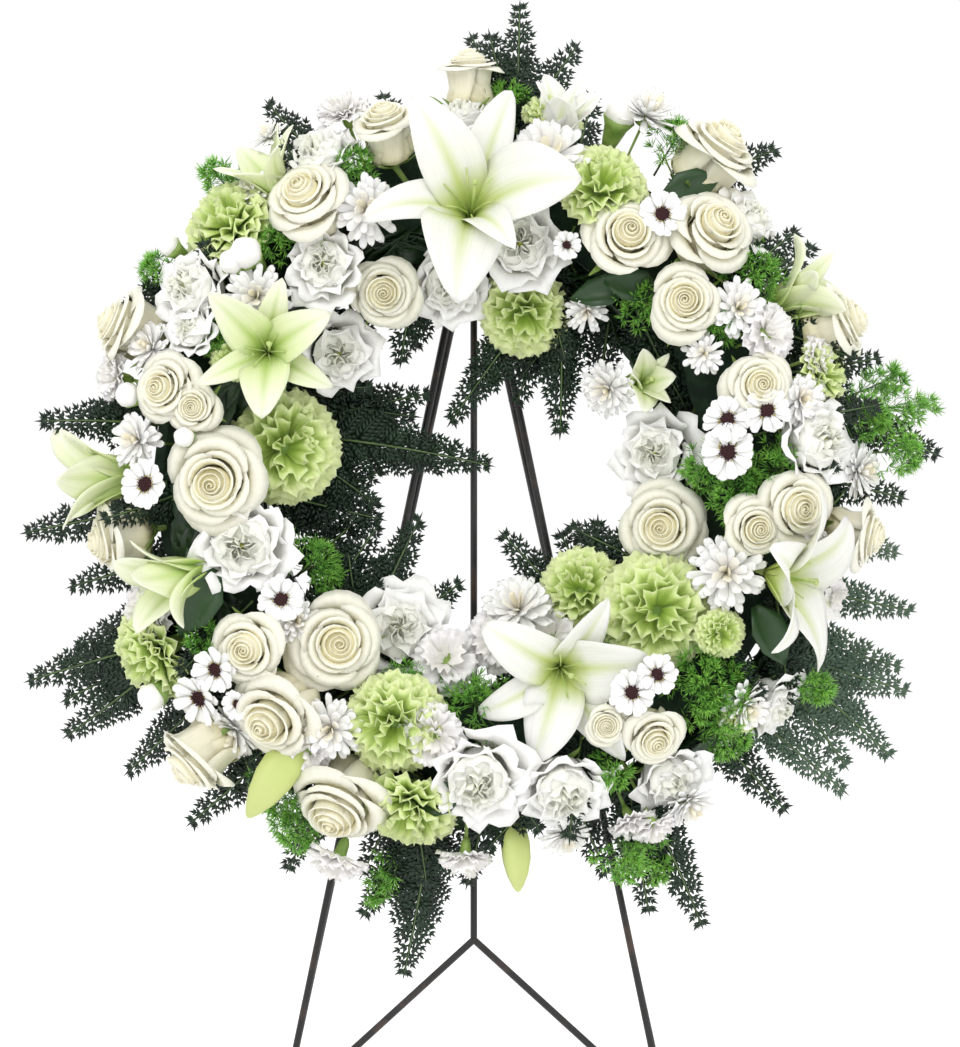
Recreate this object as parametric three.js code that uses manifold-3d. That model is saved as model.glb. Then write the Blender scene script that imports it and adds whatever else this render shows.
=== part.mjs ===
// A standing funeral wreath: a foam ring in a plastic tray, dressed with roses, lilies,
// lisianthus, carnations and ferns, resting on a folding wire easel.
// Millimetres, +Z up. The wreath faces -Y and leans back with the easel's front frame.
import * as THREE from 'three';
import { mergeVertices } from 'three/addons/utils/BufferGeometryUtils.js';
import Module from 'manifold-3d';

const wasm = await Module();
wasm.setup();

// Driving dimensions, in millimetres and degrees.
const LEAN = 11;                  // how far the front frame leans back
const REAR_ANGLE = 16;            // the rear legs' angle to the vertical when open
const RING_RADIUS = 225;          // circle through the middle of the foam
const FOAM_HALF_WIDTH = 42.6;
const FOAM_BACK = 2.4;
const FOAM_SHOULDER = 44;
const FOAM_FRONT = 52;
const TRAY_HALF_WIDTH = 45;
const TRAY_HEIGHT = 22;
const SHEET = 2;                  // wall of the moulded tray
const RING_STEPS = 28;
const STALK_DEPTH = 24;           // length of a leaf cluster's stalk in the foam
const CORE_HEIGHT = 20;           // height in the foam that the stems point at
const BLOOM_REACH = 88;           // from that core to the middle of a bloom
const STEM = 2.4;                 // radius of a stem
const GAP = 0.35;                 // clearance between pieces that touch

const ROD = 3;                    // radius of the easel's wire
const EASEL_SHIFT = -6;           // the easel stands a little left of the ring's centre
const FRAME_DEPTH = -14;          // the legs' axes, behind the tray's back
const APEX = 190;                 // height of the hinge above the ring's centre, along the frame
const LEG_TOP_SPREAD = 9;
const LEG_SLOPE = 0.208;          // spread of each leg for each unit down the frame
const CENTRE_TO_FLOOR = 1120;     // ring's centre to the floor, along the frame
const BRACE_APEX = -394;          // height of the bent brace's tip, where the middle rod ends
const BRACE_SLOPE = 1.1;          // drop of each arm of the brace for each unit across
const CROSSBAR_HEIGHT = -222;
const CROSSBAR_OVERHANG = 8;      // how far the crossbar runs past each leg
const HOOK_SPREAD = 80;
const HOOK_WIDTH = 14;
const HOOK_SHEET = 4;
const HOOK_LIP = 8;
const LIP_CLEARANCE = 2;          // room in the hook for the tray
const HINGE_DEPTH = -28;
const REAR_TOP_SPREAD = 4;
const REAR_SLOPE = 0.204;         // spread of each rear leg for each unit down its length
const KNUCKLE_RADIUS = 6.5;
const BRACKET_HALF_WIDTH = 20;
const BRACKET_TOP = 12;           // above the hinge, and BRACKET_BOTTOM below it
const BRACKET_BOTTOM = -14;
const BRACKET_BACK = -20;
const EAR_INNER = 11;
const EAR_OUTER = 16;
const EAR_REACH = 8;
const PIN_HEAD = 5;               // the radius of the pin's peened ends, PIN_HEAD_DEEP thick
const PIN_HEAD_DEEP = 3;
const FOOT_RADIUS = 11;
const FOOT_HEIGHT = 20;
const LEG_IN_FOOT = 12;           // height of a leg's end above the floor, inside its foot

const rad = THREE.MathUtils.degToRad;
const lean = rad(LEAN);

// ---------------------------------------------------------------- solids

function solidOf(geometry) {
  const bare = geometry.clone();
  bare.deleteAttribute('normal');
  bare.deleteAttribute('uv');
  const merged = mergeVertices(bare, 1e-3);
  const corners = Uint32Array.from(merged.index.array);
  const place = merged.attributes.position;
  const a = new THREE.Vector3();
  const b = new THREE.Vector3();
  const c = new THREE.Vector3();
  let volume = 0;
  for (let i = 0; i < corners.length; i += 3) {
    a.fromBufferAttribute(place, corners[i]);
    b.fromBufferAttribute(place, corners[i + 1]);
    c.fromBufferAttribute(place, corners[i + 2]);
    volume += a.dot(b.cross(c));
  }
  if (volume < 0) {
    for (let i = 0; i < corners.length; i += 3) {
      [corners[i], corners[i + 1]] = [corners[i + 1], corners[i]];
    }
  }
  return new wasm.Manifold(new wasm.Mesh({
    numProp: 3, vertProperties: Float32Array.from(place.array), triVerts: corners,
  }));
}

function union(solids) {
  return largestPiece(solids.reduce((whole, next) => whole.add(next)));
}

function boxesMeet(one, other) {
  const a = one.boundingBox();
  const b = other.boundingBox();
  return [0, 1, 2].every((i) => a.min[i] < b.max[i] && b.min[i] < a.max[i]);
}

// A body less the neighbours that were placed before it, each as [solid, solid with clearance].
function clearOf(body, neighbours) {
  let rest = body;
  for (const [solid, roomy] of neighbours) {
    if (boxesMeet(rest, roomy)) rest = largestPiece(rest.subtract(roomy));
    const touches = boxesMeet(rest, solid) && rest.intersect(solid).volume() > 0;
    if (touches) rest = largestPiece(rest.subtract(solid));
  }
  return rest;
}

function largestPiece(solid) {
  const pieces = solid.decompose();
  return pieces.reduce((best, next) => (next.volume() > best.volume() ? next : best));
}

function meshOf(name, solid, material) {
  const cut = solid.getMesh();
  const geometry = new THREE.BufferGeometry();
  geometry.setAttribute('position', new THREE.BufferAttribute(cut.vertProperties, 3));
  geometry.setIndex(new THREE.BufferAttribute(cut.triVerts, 1));
  geometry.computeVertexNormals();
  const mesh = new THREE.Mesh(geometry, material);
  mesh.name = name;
  return mesh;
}

function finish(color, roughness, metalness = 0) {
  return new THREE.MeshStandardMaterial({ color, roughness, metalness });
}

// A straight rod between two points.
function rod(from, to, radius, sides = 10) {
  const along = to.clone().sub(from);
  const geometry = new THREE.CylinderGeometry(radius, radius, along.length(), sides);
  geometry.translate(0, along.length() / 2, 0);
  const up = new THREE.Vector3(0, 1, 0);
  geometry.applyQuaternion(new THREE.Quaternion().setFromUnitVectors(up, along.clone().normalize()));
  geometry.translate(from.x, from.y, from.z);
  return solidOf(geometry);
}

function block(low, high) {
  const size = high.clone().sub(low);
  const geometry = new THREE.BoxGeometry(size.x, size.y, size.z);
  geometry.translate((low.x + high.x) / 2, (low.y + high.y) / 2, (low.z + high.z) / 2);
  return solidOf(geometry);
}

// A ring turned from a closed section of [radius, height] points, about the wreath's own axis.
function turnedRing(section) {
  const points = section.map(([radius, height]) => new THREE.Vector2(radius, height));
  points.push(points[0].clone());
  const geometry = new THREE.LatheGeometry(points, RING_STEPS);
  geometry.rotateX(Math.PI / 2);
  return solidOf(geometry);
}

// A flower head grown from rings of { r, z, wave, lift } about its own axis. The first and
// last rings are points on the axis. Each ring may be scalloped by wave and ruffled by lift.
function ringedHead(rings, lobes, segments) {
  const positions = [];
  const index = [];
  const starts = [];
  for (const { r, z, wave = 0, lift = 0 } of rings) {
    starts.push(positions.length / 3);
    const steps = r === 0 ? 1 : segments;
    for (let i = 0; i < steps; i++) {
      const angle = (i / segments) * 2 * Math.PI;
      const scallop = Math.cos(angle * lobes);
      const radius = r * (1 + wave * scallop);
      positions.push(radius * Math.cos(angle), radius * Math.sin(angle), z + lift * scallop);
    }
  }
  const corner = (ring, i) => starts[ring] + (rings[ring].r === 0 ? 0 : i % segments);
  for (let low = 0; low + 1 < rings.length; low++) {
    const high = low + 1;
    for (let i = 0; i < segments; i++) {
      if (rings[low].r !== 0) index.push(corner(low, i), corner(low, i + 1), corner(high, i));
      if (rings[high].r !== 0) index.push(corner(low, i + 1), corner(high, i + 1), corner(high, i));
    }
  }
  const geometry = new THREE.BufferGeometry();
  geometry.setAttribute('position', new THREE.Float32BufferAttribute(positions, 3));
  geometry.setIndex(index);
  return geometry;
}

// Rings moved outwards by the clearance, for cutting a neighbour.
function grownRings(rings, grow) {
  if (grow === 0) return rings;
  return rings.map((ring, i) => {
    const before = rings[Math.max(i - 1, 0)];
    const after = rings[Math.min(i + 1, rings.length - 1)];
    const run = new THREE.Vector2(after.r - before.r, after.z - before.z).normalize();
    if (ring.r === 0) return { ...ring, z: ring.z + (i === 0 ? -grow : grow) };
    return { ...ring, r: ring.r + run.y * grow * 1.3, z: ring.z - run.x * grow * 1.3 };
  });
}

// ---------------------------------------------------------------- flower heads
// Each head faces +Z with the middle of its visible disc at the origin. NECK is how far behind
// that, for a head of size 1, its stem takes hold.

const NECK = { rose: 0.42, lisianthus: 0.34, carnation: 0.38, bud: 0.42, lily: 0.17, halfLily: 0.31 };

const HEADS = {
  rose: (size, grow) => {
    const R = size / 2;
    const rings = [
      { r: 0, z: -R },
      { r: 0.42 * R, z: -0.95 * R },
      { r: 0.86 * R, z: -0.45 * R },
      { r: R, z: 0.12 * R, wave: 0.05 },
      { r: 0.74 * R, z: 0.2 * R },
      { r: 0.66 * R, z: 0.44 * R },
      { r: 0.34 * R, z: 0.4 * R },
      { r: 0, z: 0.5 * R },
    ];
    return ringedHead(grownRings(rings, grow), 4, 8);
  },
  lisianthus: (size, grow) => {
    const R = size / 2;
    const rings = [
      { r: 0, z: -0.8 * R },
      { r: 0.3 * R, z: -0.74 * R },
      { r: 0.78 * R, z: -0.2 * R },
      { r: R, z: 0.16 * R, wave: 0.08, lift: 0.08 * R },
      { r: 0.55 * R, z: 0.34 * R },
      { r: 0, z: 0.26 * R },
    ];
    return ringedHead(grownRings(rings, grow), 5, 10);
  },
  carnation: (size, grow) => {
    const R = size / 2;
    const rings = [
      { r: 0, z: -0.9 * R },
      { r: 0.26 * R, z: -0.82 * R },
      { r: 0.42 * R, z: -0.28 * R },
      { r: R, z: -0.02 * R, wave: 0.06 },
      { r: 0.8 * R, z: 0.34 * R, wave: 0.06 },
      { r: 0, z: 0.52 * R },
    ];
    return ringedHead(grownRings(rings, grow), 5, 10);
  },
  bud: (size, grow) => {
    const R = size / 2;
    const rings = [
      { r: 0, z: -R },
      { r: 0.2 * R, z: -0.8 * R },
      { r: 0.3 * R, z: -0.1 * R },
      { r: 0.16 * R, z: 0.75 * R },
      { r: 0, z: R },
    ];
    return ringedHead(grownRings(rings, grow), 3, 8);
  },
  lily: (size, grow) => trumpet(size, 0.95, grow),
  halfLily: (size, grow) => trumpet(size, 0.42, grow),
};

// A lily of six petals on one flared surface: between the petals the surface stops early.
// flare sets how far the petals open, from a closed trumpet at 0 to laid back at 1.
function trumpet(size, flare, grow) {
  const length = size * 0.62;
  const thickness = 2.6 + 2 * grow;
  const steps = 5;
  const perPetal = 4;
  const throat = 2 + size * 0.05;
  const line = [[throat, 0]];
  const directions = [];
  for (let i = 0; i < steps; i++) {
    const turn = rad(90 - flare * (20 + (92 * i) / (steps - 1)) + 6);
    const way = [Math.cos(turn), Math.sin(turn)];
    directions.push(way);
    line.push([line[i][0] + (way[0] * length) / steps, line[i][1] + (way[1] * length) / steps]);
  }
  const rise = line[steps][1] * 0.55;
  const pointAt = (s, side) => {
    const t = Math.min(s, 1) * steps;
    const i = Math.min(Math.floor(t), steps - 1);
    const f = t - i;
    const [dr, dz] = directions[i];
    const r = line[i][0] + (line[i + 1][0] - line[i][0]) * f + side * dz * (thickness / 2);
    const z = line[i][1] + (line[i + 1][1] - line[i][1]) * f - side * dr * (thickness / 2);
    return [r, z - rise];
  };
  const count = 6 * perPetal;
  const positions = [];
  const index = [];
  const rows = [];
  const addRow = (s, side) => {
    const row = [];
    for (let i = 0; i < count; i++) {
      const off = Math.abs(((i % perPetal) / perPetal) * 2 - 1);
      const away = 1 - off;
      const reach = 0.34 + (0.66 + grow / length) * (1 - away * away);
      const [r, z] = pointAt(s * reach, side);
      const angle = (i / count) * 2 * Math.PI;
      row.push(positions.length / 3);
      positions.push(r * Math.cos(angle), r * Math.sin(angle), z);
    }
    rows.push(row);
  };
  const addPole = (z) => {
    positions.push(0, 0, z - rise);
    return positions.length / 3 - 1;
  };
  const bottom = addPole(-6 - grow);
  for (const s of [0.14, 0.6, 1]) addRow(s, 1);
  for (const s of [1, 0.6]) addRow(s, -1);
  const top = addPole(length * 0.16 + grow);
  for (let i = 0; i < count; i++) {
    const j = (i + 1) % count;
    index.push(bottom, rows[0][j], rows[0][i]);
    for (let k = 0; k + 1 < rows.length; k++) {
      index.push(rows[k][i], rows[k][j], rows[k + 1][i]);
      index.push(rows[k][j], rows[k + 1][j], rows[k + 1][i]);
    }
    index.push(rows[rows.length - 1][i], rows[rows.length - 1][j], top);
  }
  const geometry = new THREE.BufferGeometry();
  geometry.setAttribute('position', new THREE.Float32BufferAttribute(positions, 3));
  geometry.setIndex(index);
  return geometry;
}

// ---------------------------------------------------------------- placing flowers
// A place on the wreath is a clock angle (0 to the right, 90 at the top), a distance from the
// ring's centre, and a tilt: how far the bloom turns outwards (or, below 0, into the hole).

function polar(clock, radius, height) {
  return new THREE.Vector3(Math.cos(rad(clock)) * radius, Math.sin(rad(clock)) * radius, height);
}

function bloomPlace(clock, radius, tilt) {
  const across = radius - RING_RADIUS;
  const reach = Math.max(BLOOM_REACH, Math.abs(across) + 9);
  const height = CORE_HEIGHT + Math.sqrt(reach * reach - across * across);
  const facing = polar(clock, Math.sin(rad(tilt)), Math.cos(rad(tilt)));
  return { centre: polar(clock, radius, height), facing };
}

// One piece of the wreath: its heads, and their stems, which meet at one root in the foam.
function flowerSolid(kind, blooms, grow) {
  const clocks = blooms.map((bloom) => bloom[0]);
  const middle = clocks.reduce((sum, clock) => sum + clock, 0) / clocks.length;
  const root = polar(middle, RING_RADIUS, CORE_HEIGHT + 12);
  const solids = [];
  for (const [clock, radius, size, tilt, form = kind] of blooms) {
    const { centre, facing } = bloomPlace(clock, radius, tilt);
    const head = HEADS[form](size, grow);
    head.applyQuaternion(new THREE.Quaternion().setFromUnitVectors(new THREE.Vector3(0, 0, 1), facing));
    head.translate(centre.x, centre.y, centre.z);
    const neck = centre.clone().addScaledVector(facing, -size * NECK[form]);
    const end = root.clone().addScaledVector(neck.clone().sub(root).normalize(), -grow);
    solids.push(solidOf(head), rod(end, neck, STEM + grow, 3));
  }
  return union(solids);
}

// A fern frond lying along +X: a flat toothed blade that droops towards its tip.
function frondSolid(length, width, droop, grow) {
  const pairs = 4;
  const shape = new THREE.Shape();
  const stalk = 2 + grow;
  const half = (t) => (width / 2) * Math.sin(Math.PI * (0.2 + 0.75 * t)) + grow;
  const edge = [[0, stalk]];
  for (let i = 0; i < pairs; i++) {
    const start = 0.1 + (0.86 * i) / pairs;
    edge.push([start * length, stalk + 3 * (1 - start)]);
    edge.push([(start + 0.16) * length, half(start)]);
  }
  edge.push([0.93 * length, stalk]);
  edge.forEach(([x, y], i) => (i === 0 ? shape.moveTo(x, y) : shape.lineTo(x, y)));
  shape.lineTo(length + grow, 0);
  edge.slice().reverse().forEach(([x, y]) => shape.lineTo(x, -y));
  const depth = 2 + 2 * grow;
  const geometry = new THREE.ExtrudeGeometry(shape, { depth, bevelEnabled: false, curveSegments: 1 });
  const place = geometry.attributes.position;
  for (let i = 0; i < place.count; i++) {
    const x = place.getX(i);
    place.setZ(i, place.getZ(i) - depth / 2 - droop * (x / length) ** 2);
  }
  return geometry;
}

// A feathery asparagus plume: a plump spindle along +X.
function plumeSolid(length, width, grow) {
  const R = width / 2 + grow;
  const rings = [
    { r: 0, z: -grow },
    { r: 0.25 * R, z: 0.08 * length },
    { r: R, z: 0.45 * length },
    { r: 0.75 * R, z: 0.8 * length },
    { r: 0, z: length + grow },
  ];
  const geometry = ringedHead(rings, 3, 8);
  geometry.rotateY(Math.PI / 2);
  return geometry;
}

// Foliage from one root. Each leaf is [heading, length, width, droop, rise, form], with the
// heading in the wreath's plane and the rise its slope towards the front.
function foliageSolid(root, leaves, grow) {
  const inward = Math.sign(root.length() - RING_RADIUS);
  const foot = root.clone().setZ(0).normalize().multiplyScalar(-inward * (STALK_DEPTH + grow)).add(root);
  const tie = new THREE.OctahedronGeometry(6 + grow, 0);
  tie.translate(root.x, root.y, root.z);
  const solids = leaves.map(([heading, length, width, droop, rise, form]) => {
    const leaf = form === 'plume' ? plumeSolid(length, width, grow) : frondSolid(length, width, droop, grow);
    leaf.rotateY(-rad(rise));
    leaf.rotateZ(rad(heading));
    leaf.translate(root.x, root.y, root.z);
    return solidOf(leaf);
  });
  return union([solidOf(tie), rod(foot, root, STEM + grow, 3), ...solids]);
}

// ---------------------------------------------------------------- what grows where
// Blooms are [clock, radius, size, tilt], and may end with the form of a mixed stem's head.

const FLOWERS = {
  lily_1: ['lily', [[92.4, 211, 158, 22], [77, 290, 92, 70, 'halfLily']]],
  lily_2: ['halfLily', [[126, 290, 92, 75]]],
  lily_3: ['lily', [[151.4, 194, 104, 0]]],
  lily_4: ['lily', [[291.7, 176, 124, 12], [275, 292, 70, 62, 'bud']]],
  lily_5: ['lily', [[339.9, 262, 126, 58]]],
  lily_6: ['halfLily', [[181.5, 305, 100, 78], [200, 262, 104, 66]]],
  lily_7: ['halfLily', [[28.9, 296, 92, 66], [27.8, 151, 62, 20]]],
  lily_8: ['bud', [[236.3, 285, 104, 72]]],
  rose_1: ['rose', [[92, 318, 58, 78], [106, 282, 60, 58]]],
  rose_2: ['rose', [[53.4, 318, 74, 66]]],
  rose_3: ['rose', [[57.6, 215, 62, 14]]],
  rose_4: ['rose', [[45.5, 264, 62, 34], [38.9, 209, 56, 6]]],
  rose_5: ['rose', [[122.8, 255, 62, 36], [118.6, 162, 54, -12]]],
  rose_6: ['rose', [[158.1, 308, 68, 72], [165.6, 257, 50, 24]]],
  rose_7: ['rose', [[182.4, 210, 72, 4]]],
  rose_8: ['rose', [[190.5, 302, 62, 70]]],
  rose_9: ['rose', [[217.9, 234, 58, 20], [230.2, 182, 66, -6]]],
  rose_10: ['rose', [[230.7, 254, 68, 36]]],
  rose_11: ['rose', [[225.1, 326, 70, 74]]],
  rose_12: ['rose', [[246.9, 290, 76, 56]]],
  rose_13: ['rose', [[342.8, 154, 62, -10], [347.7, 222, 48, 10]]],
  rose_14: ['rose', [[352.7, 253, 56, 24], [376.5, 230, 52, 12], [350, 310, 60, 74]]],
  rose_15: ['rose', [[22.3, 312, 66, 74]]],
  lisianthus_1: ['lisianthus', [[117.3, 285, 60, 48], [127.7, 204, 62, 8]]],
  lisianthus_2: ['lisianthus', [[99.5, 150, 64, -18], [80.1, 181, 68, 0]]],
  lisianthus_3: ['lisianthus', [[148.3, 274, 68, 38], [141.3, 149, 66, -16]]],
  lisianthus_4: ['lisianthus', [[198.1, 200, 78, 4], [243.2, 147, 78, -16]]],
  lisianthus_5: ['lisianthus', [[5.2, 142, 68, -18], [4.7, 272, 74, 40]]],
  lisianthus_6: ['lisianthus', [[269.5, 250, 80, 22], [284.5, 268, 76, 34]]],
  carnation_1: ['carnation', [[135.7, 292, 74, 52]]],
  carnation_2: ['carnation', [[66.5, 249, 68, 30], [74.8, 128, 66, -24]]],
  carnation_3: ['carnation', [[173.6, 158, 82, -12], [209.5, 316, 70, 66]]],
  carnation_4: ['carnation', [[309.8, 124, 62, -20], [320.7, 182, 86, 0]]],
  carnation_5: ['carnation', [[251.1, 220, 76, 20], [258.1, 288, 72, 56]]],
};

// Foliage is [clock, radius, height] of its root, then its leaves.
const HOLE_FERNS = {
  hole_fern_1: [170, 174, 34, [[-4, 178, 84, 8, 4, 'fern'], [50, 96, 50, 8, 10, 'fern']]],
  hole_fern_2: [68, 174, 36, [[232, 150, 62, 10, 6, 'fern'], [272, 130, 56, 10, 10, 'fern']]],
  hole_fern_3: [236, 174, 32, [[68, 112, 60, 10, 6, 'fern'], [28, 92, 50, 10, 6, 'fern']]],
  hole_fern_4: [304, 174, 32, [[128, 118, 60, 10, 6, 'fern'], [92, 100, 54, 10, 6, 'fern']]],
};

const OUTER_FOLIAGE = {
  outer_foliage_1: [84, 276, 30, [[88, 110, 46, 12, -12, 'fern'], [112, 92, 44, 12, -12, 'fern'],
    [58, 92, 44, 12, -12, 'fern']]],
  outer_foliage_2: [10, 276, 30, [[3, 104, 52, 0, 4, 'plume'], [22, 82, 44, 0, 2, 'plume'],
    [-14, 112, 48, 12, -12, 'fern']]],
  outer_foliage_3: [328, 276, 30, [[342, 124, 56, 12, -12, 'fern'], [322, 138, 58, 12, -12, 'fern'],
    [304, 120, 50, 12, -12, 'fern']]],
  outer_foliage_4: [296, 276, 30, [[300, 142, 54, 12, -12, 'fern'], [276, 118, 52, 12, -12, 'fern'],
    [286, 96, 46, 0, 4, 'plume']]],
  outer_foliage_5: [262, 276, 30, [[262, 146, 74, 12, -12, 'fern'], [240, 112, 52, 12, -12, 'fern'],
    [238, 98, 50, 0, 4, 'plume']]],
  outer_foliage_6: [210, 276, 30, [[192, 140, 60, 12, -12, 'fern'], [222, 132, 62, 12, -12, 'fern'],
    [206, 118, 50, 12, -12, 'fern']]],
};

const GREEN = { fern: 0x1d3626, mixed: 0x2f6b2c };
const PETAL = {
  rose: finish(0xf0ecd2, 0.55),
  lily: finish(0xeef2dc, 0.5),
  lisianthus: finish(0xf2f1ee, 0.6),
  carnation: finish(0xb7cf66, 0.65),
};

// ---------------------------------------------------------------- building the wreath

const wreath = new THREE.Group();
const built = {};
const placed = [];

for (const [name, [kind, blooms]] of Object.entries(FLOWERS)) {
  built[name] = clearOf(flowerSolid(kind, blooms, 0), placed);
  placed.push([built[name], flowerSolid(kind, blooms, GAP)]);
}

const foliage = { ...HOLE_FERNS, ...OUTER_FOLIAGE };

// ---------------------------------------------------------------- the ring

const trayInner = RING_RADIUS - TRAY_HALF_WIDTH;
const trayOuter = RING_RADIUS + TRAY_HALF_WIDTH;
const foamInner = RING_RADIUS - FOAM_HALF_WIDTH;
const foamOuter = RING_RADIUS + FOAM_HALF_WIDTH;
const foamShoulderInset = 9;

const tray = turnedRing([
  [trayInner, 0], [trayOuter, 0], [trayOuter, TRAY_HEIGHT], [trayOuter - SHEET, TRAY_HEIGHT],
  [trayOuter - SHEET, SHEET], [trayInner + SHEET, SHEET], [trayInner + SHEET, TRAY_HEIGHT],
  [trayInner, TRAY_HEIGHT],
]);
const foam = turnedRing([
  [foamInner, FOAM_BACK], [foamOuter, FOAM_BACK], [foamOuter, FOAM_SHOULDER],
  [foamOuter - foamShoulderInset, FOAM_FRONT], [foamInner + foamShoulderInset, FOAM_FRONT],
  [foamInner, FOAM_SHOULDER],
]);

// ---------------------------------------------------------------- the easel's front frame
// Built in the wreath's own frame: x across, y up along the frame, z towards the front.

const at = (x, y, z) => new THREE.Vector3(EASEL_SHIFT + x, y, z);
const legSpread = (height) => LEG_TOP_SPREAD + LEG_SLOPE * (APEX - height);
const legFootHeight = -CENTRE_TO_FLOOR + LEG_IN_FOOT;
const leg = (side, radius) => rod(
  at(side * legSpread(APEX - ROD), APEX - ROD, FRAME_DEPTH),
  at(side * legSpread(legFootHeight), legFootHeight, FRAME_DEPTH),
  radius,
);

// The brace is one wire bent to an upturned V. Its arms end against the legs, and the middle
// rod comes down to its tip.
const braceFoot = (BRACE_SLOPE * BRACE_APEX - LEG_TOP_SPREAD - LEG_SLOPE * APEX) / (BRACE_SLOPE - LEG_SLOPE);
const braceArm = (side, radius) => rod(
  at(-side * ROD * 0.4, BRACE_APEX + ROD * 0.4 * BRACE_SLOPE, FRAME_DEPTH),
  at(side * legSpread(braceFoot), braceFoot, FRAME_DEPTH),
  radius,
);
const brace = (radius) => union([braceArm(-1, radius), braceArm(1, radius)]);
const middleRod = (radius) => rod(
  at(0, BRACE_APEX, FRAME_DEPTH),
  at(0, APEX - 2 * ROD, FRAME_DEPTH),
  radius,
);

const easel = {};
easel.left_front_leg = leg(-1, ROD);
easel.right_front_leg = leg(1, ROD);
easel.brace_wire = largestPiece(brace(ROD).subtract(leg(-1, ROD + GAP)).subtract(leg(1, ROD + GAP)));
easel.middle_rod = middleRod(ROD).subtract(brace(ROD + GAP));

const crossbarDepth = FRAME_DEPTH + 2 * ROD + GAP;
const crossbarHalf = legSpread(CROSSBAR_HEIGHT) + CROSSBAR_OVERHANG;
const crossbar = (radius) => rod(
  at(-crossbarHalf, CROSSBAR_HEIGHT, crossbarDepth),
  at(crossbarHalf, CROSSBAR_HEIGHT, crossbarDepth),
  radius,
);
easel.lower_crossbar = crossbar(ROD);

// A strap bent to a J: it hangs on the crossbar and takes the tray's lower edge.
function hook(side) {
  const back = -GAP - HOOK_SHEET;
  const top = CROSSBAR_HEIGHT + 2 * HOOK_SHEET;
  const shelf = -trayOuter + TRAY_HEIGHT / 3;
  const lipBack = TRAY_HEIGHT + LIP_CLEARANCE;
  const lipFront = lipBack + HOOK_SHEET;
  const lipTop = shelf + HOOK_LIP - HOOK_SHEET;
  const profile = new THREE.Shape([
    [back, top], [-GAP, top], [-GAP, shelf], [lipBack, shelf], [lipBack, lipTop], [lipFront, lipTop],
    [lipFront, shelf - HOOK_SHEET], [back, shelf - HOOK_SHEET],
  ].map(([z, y]) => new THREE.Vector2(z, y)));
  const geometry = new THREE.ExtrudeGeometry(profile, { depth: HOOK_WIDTH, bevelEnabled: false });
  geometry.rotateY(-Math.PI / 2);
  geometry.translate(side * HOOK_SPREAD + HOOK_WIDTH / 2, 0, 0);
  return solidOf(geometry).subtract(crossbar(ROD + GAP));
}
easel.left_hook = largestPiece(hook(-1));
easel.right_hook = largestPiece(hook(1));

// The bracket at the apex takes both legs and the middle rod in sockets, and carries the hinge
// between two ears.
const acrossHinge = (from, to, radius, sides = 10) => rod(
  at(from, APEX, HINGE_DEPTH),
  at(to, APEX, HINGE_DEPTH),
  radius,
  sides,
);
const hingeBore = acrossHinge(-BRACKET_HALF_WIDTH, BRACKET_HALF_WIDTH, ROD + GAP);
const ear = (from, to) => block(
  at(from, APEX - EAR_REACH, HINGE_DEPTH - EAR_REACH),
  at(to, APEX + EAR_REACH, BRACKET_BACK + 1),
);
const bracketBody = block(
  at(-BRACKET_HALF_WIDTH, APEX + BRACKET_BOTTOM, BRACKET_BACK),
  at(BRACKET_HALF_WIDTH, APEX + BRACKET_TOP, -GAP),
);
easel.top_bracket = union([bracketBody, ear(-EAR_OUTER, -EAR_INNER), ear(EAR_INNER, EAR_OUTER)])
  .subtract(leg(-1, ROD + GAP))
  .subtract(leg(1, ROD + GAP))
  .subtract(middleRod(ROD + GAP))
  .subtract(hingeBore);

easel.hinge_pin = union([
  acrossHinge(-EAR_OUTER - PIN_HEAD_DEEP, EAR_OUTER + PIN_HEAD_DEEP, ROD),
  acrossHinge(-EAR_OUTER - PIN_HEAD_DEEP, -EAR_OUTER - GAP, PIN_HEAD),
  acrossHinge(EAR_OUTER + GAP, EAR_OUTER + PIN_HEAD_DEEP, PIN_HEAD),
]);

// ---------------------------------------------------------------- the rear frame
// Two rear legs welded to a knuckle that turns on the hinge pin. They spread as the front legs
// do, so they stand right behind them.

const hingeRise = (APEX + CENTRE_TO_FLOOR) * Math.cos(lean) + HINGE_DEPTH * Math.sin(lean);
const rearLength = (hingeRise - LEG_IN_FOOT / 2) / Math.cos(rad(REAR_ANGLE));
const rearTurn = rad(LEAN + REAR_ANGLE);
const rearPlace = (side, length) => at(
  side * (REAR_TOP_SPREAD + REAR_SLOPE * length),
  APEX - Math.cos(rearTurn) * length,
  HINGE_DEPTH - Math.sin(rearTurn) * length,
);
const rearLeg = (side, radius) => rod(rearPlace(side, 0), rearPlace(side, rearLength), radius);
const knuckle = acrossHinge(-EAR_INNER + 2 * GAP, EAR_INNER - 2 * GAP, KNUCKLE_RADIUS, 12);
easel.rear_frame = union([knuckle, rearLeg(-1, ROD), rearLeg(1, ROD)]).subtract(hingeBore);

// ---------------------------------------------------------------- settling what touches

const hooks = [[easel.left_hook, easel.left_hook], [easel.right_hook, easel.right_hook]];
for (const [name, [clock, radius, height, leaves]] of Object.entries(foliage)) {
  const root = polar(clock, radius, height);
  built[name] = clearOf(foliageSolid(root, leaves, 0), [...hooks, ...placed]);
  placed.push([built[name], foliageSolid(root, leaves, GAP)]);
}
const cutFoam = clearOf(foam, placed);

// ---------------------------------------------------------------- scene graph

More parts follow.
